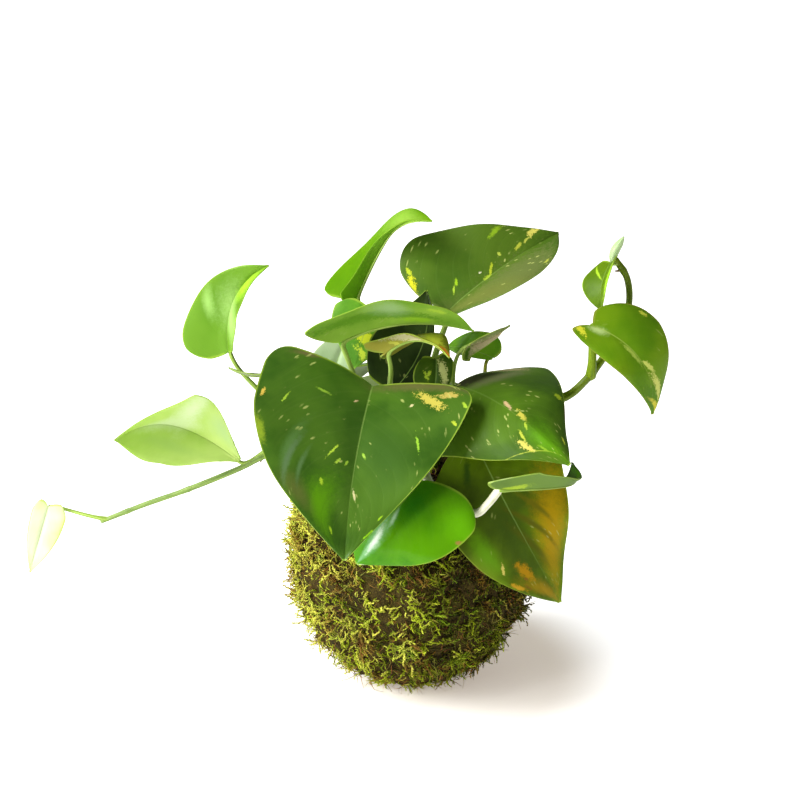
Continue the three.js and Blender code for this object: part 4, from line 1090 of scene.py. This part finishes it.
        "rise": (-0.6, -0.2, 0.3), "arrive": (0, 0.4), "stalk": 0.9,
        "look": {
            "underShare": 0.15, "dark": "#4c6b05", "light": "#607f09", "glow": "#8cc31e", "glowShare": 0.22,
            "flecks": 0,
        },
        "marks": [
            (4.9, 6.4, 141, 4.3, 0.5, "#a8d030", 0.4), (-11.7, 10.6, -83, 5.4, 3.3, "#98c828", 0.6),
        ],
    },
    "leafFarLeftHigh": {
        "base": (-86.9, -10, 173.1), "tip": (-67.5, -8.1, 214.6), "face": (-0.4, -0.89, 0.23),
        "half": (23.9, 20.1), "fold": (12, 58), "cup": (-8, -13), "arch": -1.7, "bow": -9.5, "twist": 5,
        "curl": -1, "lobe": (2, 2), "lobePeak": 0.75, "round": (0.52, 0.33), "start": (0.74, 0.75),
        "widest": (0.09, 0.23), "taper": (1.39, 1.73), "wave": 0.6, "stem": "stemBackLeft", "at": 0.985,
        "rise": (-0.4, -0.1, 0.9), "arrive": (0.8, 0.3), "stalk": 1.2,
        "look": {
            "coat": 0, "gloss": 0.1, "rough": 0.5, "underShare": 0.25, "dark": "#56821a",
            "light": "#6a9426", "under": "#aacd6e", "glow": "#aad73c", "glowShare": 0.35, "flecks": 0,
        },
        "marks": [
            (9.1, 16, -30, 17.8, 7.3, "#a8cc74", 1), (11.8, 35, 120, 7.5, 11, "#a8d838", 0.8),
            (-15.3, 18, -35, 6.4, 1.9, "#9cc468", 1), (-23.9, 37.2, 90, 5.6, 1.8, "#a4cc68", 1),
        ],
    },
    "leafFarLeftSmall": {
        "base": (-68, -14, 163), "tip": (-87, -15, 166.7), "face": (0, 0.3, 0.95), "half": (6, 6),
        "fold": (10, 10), "cup": (0, 0), "arch": -2, "lobe": (2, 2), "wave": 0.2, "stem": "stemBackLeft",
        "at": 0.9, "rise": (0.2, -0.5, 1), "arrive": (0, 1), "stalk": 1,
        "look": {"dark": "#768a62", "light": "#94a87c", "flecks": 0},
    },
    "leafFarLeftPale": {
        "base": (-81.6, -30, 124.9), "tip": (-131.4, -62, 148.8), "face": (0.62, -0.57, 0.53),
        "half": (19, 26.9), "fold": (-22, 75), "cup": (-18, 6), "arch": -7.1, "bow": 14, "curl": -6.4,
        "lobe": (0, 0), "lobePeak": 0.87, "round": (0.7, 0.7), "start": (0.1, 0.1), "widest": (0.5, 0.58),
        "taper": (3.18, 0.55), "wave": 0.5, "stem": "stemLeft", "at": 0.52, "rise": (-0.2, 0, 1),
        "arrive": (1, 0.5), "stalk": 1.1,
        "look": {
            "dark": "#b2d363", "light": "#cde484", "under": "#bed68c", "glow": "#bee164", "glowShare": 0.35,
            "flecks": 0, "rim": "#b0d05a",
        },
        "marks": [
            (-12.8, 32.5, -100, 14.8, 3.1, "#b0d070", 1), (18.6, 10.7, -96, 7.6, 7.2, "#bcd890", 1),
            # the near-white ovals #e4f0c4 and #dcecb8 are painted light: the bright glow of light shining
            # through the leaf
            (14.9, 30.9, -177, 14.5, 5, "#e4f0c4", 1), (2.4, 35.6, 107, 11.3, 4, "#dcecb8", 1),
        ],
    },
    "leafFarLeftTip": {
        "base": (-175.5, -22, 98.4), "tip": (-186, -24, 65.2), "face": (0.1, -0.93, 0.35), "half": (10, 7),
        "fold": (6, 6), "cup": (0, 0), "arch": 1, "lobe": (3, 3), "wave": 0.3, "stem": "stemLeft",
        "at": 0.985, "rise": (-1, 0, 0.1), "arrive": (0, 1), "stalk": 0.9,
        "look": {
            "dark": "#d6e394", "light": "#eeefd9", "under": "#d6e682", "glow": "#d2eb6e", "glowShare": 0.35,
            "flecks": 0, "rim": "#c8de5a",
        },
    },
    "leafBackLeft": {
        "base": (-30, 40, 150), "tip": (-56, 84, 112), "face": (-0.35, 0.65, 0.68), "half": (32, 32),
        "fold": (5, 5), "cup": (-12, -12), "arch": 7, "lobe": (8, 8), "wave": 1, "stem": "stemBack",
        "at": 0.5, "rise": (-0.6, 0.3, 1), "arrive": (0.2, 1), "stalk": 1.5,
        "look": {"dark": "#3e641e", "light": "#587e2a"},
    },
    "leafBackMiddle": {
        "base": (3, 62, 134), "tip": (-4, 92, 78), "face": (0.05, 0.9, 0.42), "half": (32, 32),
        "fold": (4, 4), "cup": (-12, -12), "arch": 6, "lobe": (8, 8), "wave": 1, "stem": "stemBack",
        "at": 0.97, "rise": (0, 0.2, 1), "arrive": (0.1, 1), "stalk": 1.5,
        "look": {"dark": "#426a1c", "light": "#5c8226"},
    },
    "leafBackRight": {
        "base": (40, 34, 139), "tip": (75, 64, 104), "face": (0.3, 0.62, 0.72), "half": (28, 28),
        "fold": (5, 5), "cup": (-12, -12), "arch": 6, "lobe": (7, 7), "wave": 0.8, "stem": "stemBack",
        "at": 0.72, "rise": (0.7, 0.1, 1), "arrive": (0.2, 1), "stalk": 1.4,
        "look": {"dark": "#4a741e", "light": "#628a28"},
    },
}


def outlineAt(leaf, s, hand):
    start, widest, taper = (np.choose(hand, leaf[key]) for key in ("start", "widest", "taper"))
    rising = 1 - (1 - start) * (1 - np.minimum(s / widest, 1)) ** 2
    falling = 1 - np.clip((s - widest) / (1 - widest), 0, 1) ** taper
    return np.where(s < widest, rising, falling)


def lobeAt(leaf, s, reach):
    peak = leaf["lobePeak"]
    fade = np.maximum(0, 1 - s / leaf["lobeLength"]) ** 1.5
    inner = np.sin(math.pi / 2 * np.minimum(reach / peak, 1) ** 0.7)
    outer = 1 - 0.35 * (np.maximum(reach - peak, 0) / (1 - peak)) ** 2
    return fade * np.where(reach < peak, inner, outer)


def midribFrame(leaf, s):
    base, chord = np.array(leaf["base"], float), np.subtract(leaf["tip"], leaf["base"])
    along, face = unit(chord), np.array(leaf["face"], float)
    up = unit(face - along * (face @ along))
    right = np.cross(along, up)

    def bend(x):
        x = x[:, None]
        hump = 4 * x * (1 - x)
        lift = leaf["arch"] * hump + leaf["curl"] * np.maximum(0, 2 * x - 1) ** 2
        return base + chord * x + up * lift + right * leaf["bow"] * hump

    ahead = unit(bend(s + 0.01) - bend(s - 0.01))
    lifted = unit(up - ahead * (ahead @ up)[:, None])
    turn = np.radians(leaf["twist"] * s)[:, None]
    lifted = lifted * np.cos(turn) + np.cross(ahead, lifted) * np.sin(turn)
    return bend(s), ahead, lifted, np.cross(ahead, lifted)


def cornerRounded(leaf, s, reach, hand):  # where a place of the square grid lands with the corners rounded
    wide = np.maximum(np.choose(hand, leaf["round"]), 1e-3)
    long = leaf["roundLength"] * wide
    u, v = np.maximum(1 - s / long, 0), np.maximum(1 - (1 - reach) / wide, 0)
    inside = (u > 0) & (v > 0)
    return (np.where(inside, long * (1 - u * np.sqrt(1 - v ** 2 / 2)), s),
            np.where(inside, 1 - wide * (1 - v * np.sqrt(1 - u ** 2 / 2)), reach))


def bladePoints(leaf, s, across):
    hand = (across >= 0).astype(int)
    s, reach = cornerRounded(leaf, s, np.abs(across), hand)
    point, ahead, lifted, side = midribFrame(leaf, s)
    half = np.maximum(np.choose(hand, leaf["half"]) * outlineAt(leaf, s, hand), leaf["tipHalf"])
    fold = np.radians(np.choose(hand, leaf["fold"]).astype(float))
    cup = np.radians(np.choose(hand, [c or 1e-4 for c in leaf["cup"]]).astype(float))
    out = half * (np.sin(fold + cup * reach) - np.sin(fold)) / cup
    lift = half * (np.cos(fold) - np.cos(fold + cup * reach)) / cup
    ripple = leaf["wave"] * reach ** 2 * np.sin(2 * math.pi * (2.2 * s + 0.37 * hand))
    return (point + side * (np.sign(across) * out)[:, None] + lifted * (lift + ripple)[:, None]
            - ahead * (np.choose(hand, leaf["lobe"]) * lobeAt(leaf, s, reach))[:, None])


def bladeNormals(leaf, s, across):
    step = 0.02
    ahead, outwards = (bladePoints(leaf, np.minimum(s + step * a, 1), np.minimum(across + step * b, 1))
                       - bladePoints(leaf, np.maximum(s - step * a, 0), np.maximum(across - step * b, -1))
                       for a, b in ((1, 0), (0, 1)))
    return unit(np.cross(outwards, ahead))


def veinLine(s, reach):  # the same all along one side vein
    return s - reach * 0.3 - reach ** 3 * 0.15


def makeBlade(name, leaf):
    length = np.linalg.norm(np.subtract(leaf["tip"], leaf["base"]))
    rows = max(24, round(length / leaf["cell"]))
    columns = 2 * max(10, round(sum(leaf["half"]) / leaf["cell"] / 2))
    seed = sum(map(ord, name))

    def placeOf(u, v):
        across = 2 * u - 1
        across = np.sign(across) * np.abs(across) ** leaf["crowding"]  # more rows near the midrib
        reach = np.abs(across)
        points = bladePoints(leaf, v, across)
        normals = bladeNormals(leaf, v, across)
        phase = veinLine(v, reach) * leaf["veins"] + 0.5 * (across > 0)
        puff = np.abs(np.sin(math.pi * phase)) * smoothStep(0, 0.12, reach) * smoothStep(1, 0.8, reach)
        sway = cloudAt(points, 22, seed) * smoothStep(0, 0.25, reach) * leaf["sway"]
        height = leaf["quilt"] * puff * smoothStep(1, 0.9, v) + sway * smoothStep(1, 0.85, v)
        return points + normals * height[:, None], np.stack([(across + 1) / 2, v], 1)

    blade = growGrid(name, columns, rows, placeOf)
    mesh = blade.data
    count, corners = len(mesh.vertices), cornersIn(mesh)
    mapped = np.empty(len(mesh.loops) * 2, np.float32)
    mesh.uv_layers[0].data.foreach_get("uv", mapped)
    reach, along = np.zeros(count), np.zeros(count)
    reach[corners], along[corners] = np.abs(2 * mapped[::2] - 1), mapped[1::2]
    body = blade.vertex_groups.new(name="body")
    full = smoothStep(1.0, 0.88, reach) * smoothStep(1.0, 0.96, along)
    for k in range(count):
        body.add([k], float(full[k]), "REPLACE")
    side = mesh.attributes.new("upperSide", "FLOAT", "POINT")
    side.data.foreach_set("value", np.ones(count, np.float32))
    applyModifier(blade, "SOLIDIFY", thickness=leaf["thickness"] * mm, offset=0, vertex_group="body",
                  thickness_vertex_group=0.4)
    mesh = blade.data
    points = readPoints(mesh)
    normals = bladeNormals(leaf, along, np.zeros_like(along))
    upper = np.ones(len(mesh.vertices), np.float32)
    firstIsUpper = ((points[:count] - points[count:2 * count]) * normals).sum() > 0
    upper[slice(count, None) if firstIsUpper else slice(count)] = 0
    mesh.attributes["upperSide"].data.foreach_set("value", upper)
    blade.vertex_groups.clear()
    return blade


def stalkPath(leaf):  # from the stem up to the blade and on under its midrib, with the radius at each point
    foot = curveThrough(stems[leaf["stem"]]["points"], 401)[0][round(leaf["at"] * 400)]
    point, ahead, lifted, _ = (rows[0] for rows in midribFrame(leaf, np.zeros(1)))
    reach = np.linalg.norm(point - foot)
    rise = unit(np.array(leaf["rise"], float))
    arrive = ahead * leaf["arrive"][0] + lifted * leaf["arrive"][1]
    topRadius = leaf["stalk"] * stalkForm["taper"][1]
    last = point - lifted * topRadius * 0.7
    low, high = foot + rise * 0.4 * reach, point - arrive * 0.35 * reach
    t = np.linspace(0, 1, max(14, int(reach / 1.3)))[:, None]
    stalk = foot * (1 - t) ** 3 + 3 * low * t * (1 - t) ** 2 + 3 * high * t ** 2 * (1 - t) + last * t ** 3
    t = t[:, 0]
    stalkRadii = leaf["stalk"] * blendOf(*stalkForm["taper"], t)
    stalkRadii *= (1 + stalkForm["foot"] * np.exp(-(t / 0.12) ** 2)
                   + stalkForm["collar"] * np.exp(-((t - 0.93) / 0.06) ** 2))
    length = np.linalg.norm(np.subtract(leaf["tip"], leaf["base"]))
    s = np.linspace(0, 0.97, max(16, int(length / 1.8)))[1:]
    ribRadii = blendOf(topRadius * 0.85, stalkForm["ribTip"], s ** 0.65)
    ribPoint, _, ribLifted, _ = midribFrame(leaf, s)
    rib = ribPoint - ribLifted * (ribRadii * 0.72)[:, None]
    path, radii = np.vstack([stalk, rib]), np.concatenate([stalkRadii, ribRadii])
    for _ in range(3):  # eases the bend where the stalk meets the blade
        near = slice(len(stalk) - 6, len(stalk) + 4)
        eased = path.copy()
        eased[1:-1] = (path[:-2] + 2 * path[1:-1] + path[2:]) / 4
        path[near] = eased[near]
    return path, radii


def makeLeaf(name, given):
    leaf = {**bladeForm, **given, "look": {**leafLook, **given["look"]}}
    blade = makeBlade(name, leaf)
    path, radii = stalkPath(leaf)
    sides = stalkForm["sides"]
    fromTop = np.minimum(np.arange(sides), sides - np.arange(sides))
    groove = 1 - stalkForm["groove"] * np.exp(-(fromTop / 0.9) ** 2)
    stalk = growTube(name + "Stalk", path[::-1], radii[::-1, None] * groove[None], sides,
                     midribFrame(leaf, np.array([0.97]))[2][0])
    blade.data.materials.append(leafMaterial(name, leaf))
    look = leaf["look"]
    stalk.data.materials.append(stemMaterial(name + "Stalk", look["stalk"], look["stalkMarks"]))
    joinInto(blade, stalk)
    smoothShade(blade, 55)
    settle(blade, nodeOf(name), nodeOf(name))
    return len(blade.data.polygons)


def leafMaterial(name, leaf):
    look = leaf["look"]
    seed = sum(map(ord, name)) % 97
    wide, long = max(leaf["half"]), math.dist(leaf["base"], leaf["tip"])
    paint = Paint(name)
    u, v = paint.grow()
    at = paint.place()
    across = u * 2 - 1
    reach = abs(across)
    line = veinLine(v, reach)
    blots = paint.noise(at, 34, 3, 0.5)
    mottle = paint.noise(at, 190, 4, 0.62)
    ragged = paint.noise(at, 560, 4, 0.65)
    fine = paint.noise(at, 1500, 2, 0.6)
    stripes = paint.noise(paint.vector(line * 30, across * 2.2, float(seed)), 1.0, 4, 0.6)
    hairs = paint.noise(paint.vector(line * 110, across * 2, seed + 5.0), 1.0, 2, 0.5)
    tint = paint.mix(blots.band(0.38, 0.62), colour(look["dark"]), colour(look["light"]))
    tint = paint.mix(mottle.band(0.42, 0.66) * look["mottleShare"], tint, colour(look["light"]))
    tint = paint.mix(stripes.band(0.42, 0.66) * look["stripeShare"], tint, colour(look["dark"]))
    tint = paint.mix(hairs.band(0.5, 0.75) * look["hairShare"], tint, colour(look["vein"]))
    phase = line * leaf["veins"] + across.band(-0.001, 0.001) * 0.5 + (mottle - 0.5) * 0.12
    toVein = paint.add("ShaderNodeMath", {"operation": "PINGPONG"}, [phase, 0.5])
    sideVein = toVein.band(0.08, 0.0) * reach.band(1.0, 0.6)
    tint = paint.mix(sideVein * look["veinShare"], tint, colour(look["vein"]))
    shape = (ragged - 0.5) * 3 + (fine - 0.5) * 2.4 + (stripes - 0.5) * 1.2
    flat = paint.vector(across * wide, v * long)
    for *where, markTint, soft in leaf["marks"]:
        edge = paint.farFrom(flat, *where) + shape * (1 - soft * 0.7)
        tint = paint.mix(edge.band(1 + soft, 1 - soft), tint, colour(markTint))
    cells = paint.add("ShaderNodeTexVoronoi", {"feature": "F1"}, {
        "Vector": paint.vector(line * long * 0.3, across * wide * 0.16, float(seed)), "Scale": 1.0,
        "Randomness": 1.0})
    flecks = (cells + (ragged - 0.5) * 0.3).band(0.24, 0.12) * paint.noise(at, 70, 2).band(0.5, 0.6)
    tint = paint.mix(flecks * look["flecks"], tint, colour(look["fleck"]))
    rib = (reach * wide).band(0.6, 0.2) * v.band(1.05, 0.3)
    tint = paint.mix(rib * look["ribShare"], tint, colour(look["rib"]))
    toRim = ((1 - reach) * wide).least((1 - v) * long).least(v * long)
    rim = toRim.band(0.9, 0.35) * look["rimShare"] * reach.band(0.05, 0.2)
    tint = paint.mix(rim, tint, colour(look["rim"]))
    upper = paint.add("ShaderNodeAttribute", {"attribute_name": "upperSide"}, out="Fac")
    tint = paint.mix((1 - upper) * look["underShare"], tint, colour(look["under"]))
    coat = (mottle - 0.5) * 0.1 + look["coat"]
    for *where, share in leaf["sheen"]:
        coat = coat + (paint.farFrom(flat, *where) + (stripes - 0.5) * 0.9).band(1.4, 0.3) * share
    height = (1 - sideVein) * 0.3 + hairs * 0.06 + fine * 0.1 + (1 - rib) * 0.6
    rough = (mottle - 0.5) * 0.12 + fine * 0.05 + look["rough"] + (1 - upper) * 0.15
    return paint.surface(look["glow"], look["glowShare"], **{
        "Base Color": tint, "Roughness": rough, "Specular IOR Level": look["gloss"], "Coat Weight": coat,
        "Coat Roughness": look["coatRough"], "Normal": paint.bump(height, 0.22, 0.25)})


def makeLeaves():
    count = sum(makeLeaf(name, leaf) for name, leaf in leaves.items())
    print("leaves", len(leaves), count)


# The rolled young leaf at the end of the right stem

bud = {"radius": 2.3, "points": [(96.6, 10, 213.2), (96.7, 10, 214.6), (97.9, 9.6, 218.4), (101, 8, 224.5)],
       "sides": 14, "steps": 26, "wrap": 0.12, "tints": ("#8fae72", "#b4c898"), "marks": 0.1}


def makeBud():
    path, _ = curveThrough(bud["points"], bud["steps"])
    share = np.linspace(0, 1, len(path))
    radii = bud["radius"] * np.sin(math.pi * (0.22 + 0.72 * share)) ** 0.8
    sides = bud["sides"]
    turned = (np.arange(sides)[None] / sides - 0.35 * share[:, None]) % 1  # the rolled edge winds upwards
    wrap = 1 + bud["wrap"] * (turned - 0.5)
    piece = growTube("leafBud", path, radii[:, None] * wrap, sides, np.array([0, -1.0, 0]))
    smoothShade(piece, 40)
    piece.data.materials.append(stemMaterial("leafBud", bud["tints"], bud["marks"]))
    settle(piece, "leaf_bud", "leaf_bud")
    print("bud")


def makeRootNubMaterial():
    paint = Paint("rootNub")
    fine = paint.noise(paint.place(), 900, 3, 0.6)
    tint = paint.ramp(fine, (0.35, "#5a3f22"), (0.65, "#9a7a48"))
    paint.surface(**{"Base Color": tint, "Roughness": 0.8, "Normal": paint.bump(fine, 0.5, 0.3)})


# The whole plant

setStudio()
mossMat()
mossSprigs()
mossFibres()
soilAndCrumbs()
bindingThread()
makeRootNubMaterial()
makeStems()
makeLeaves()
makeBud()

deselectAll()
bpy.context.view_layer.update()
print("done")
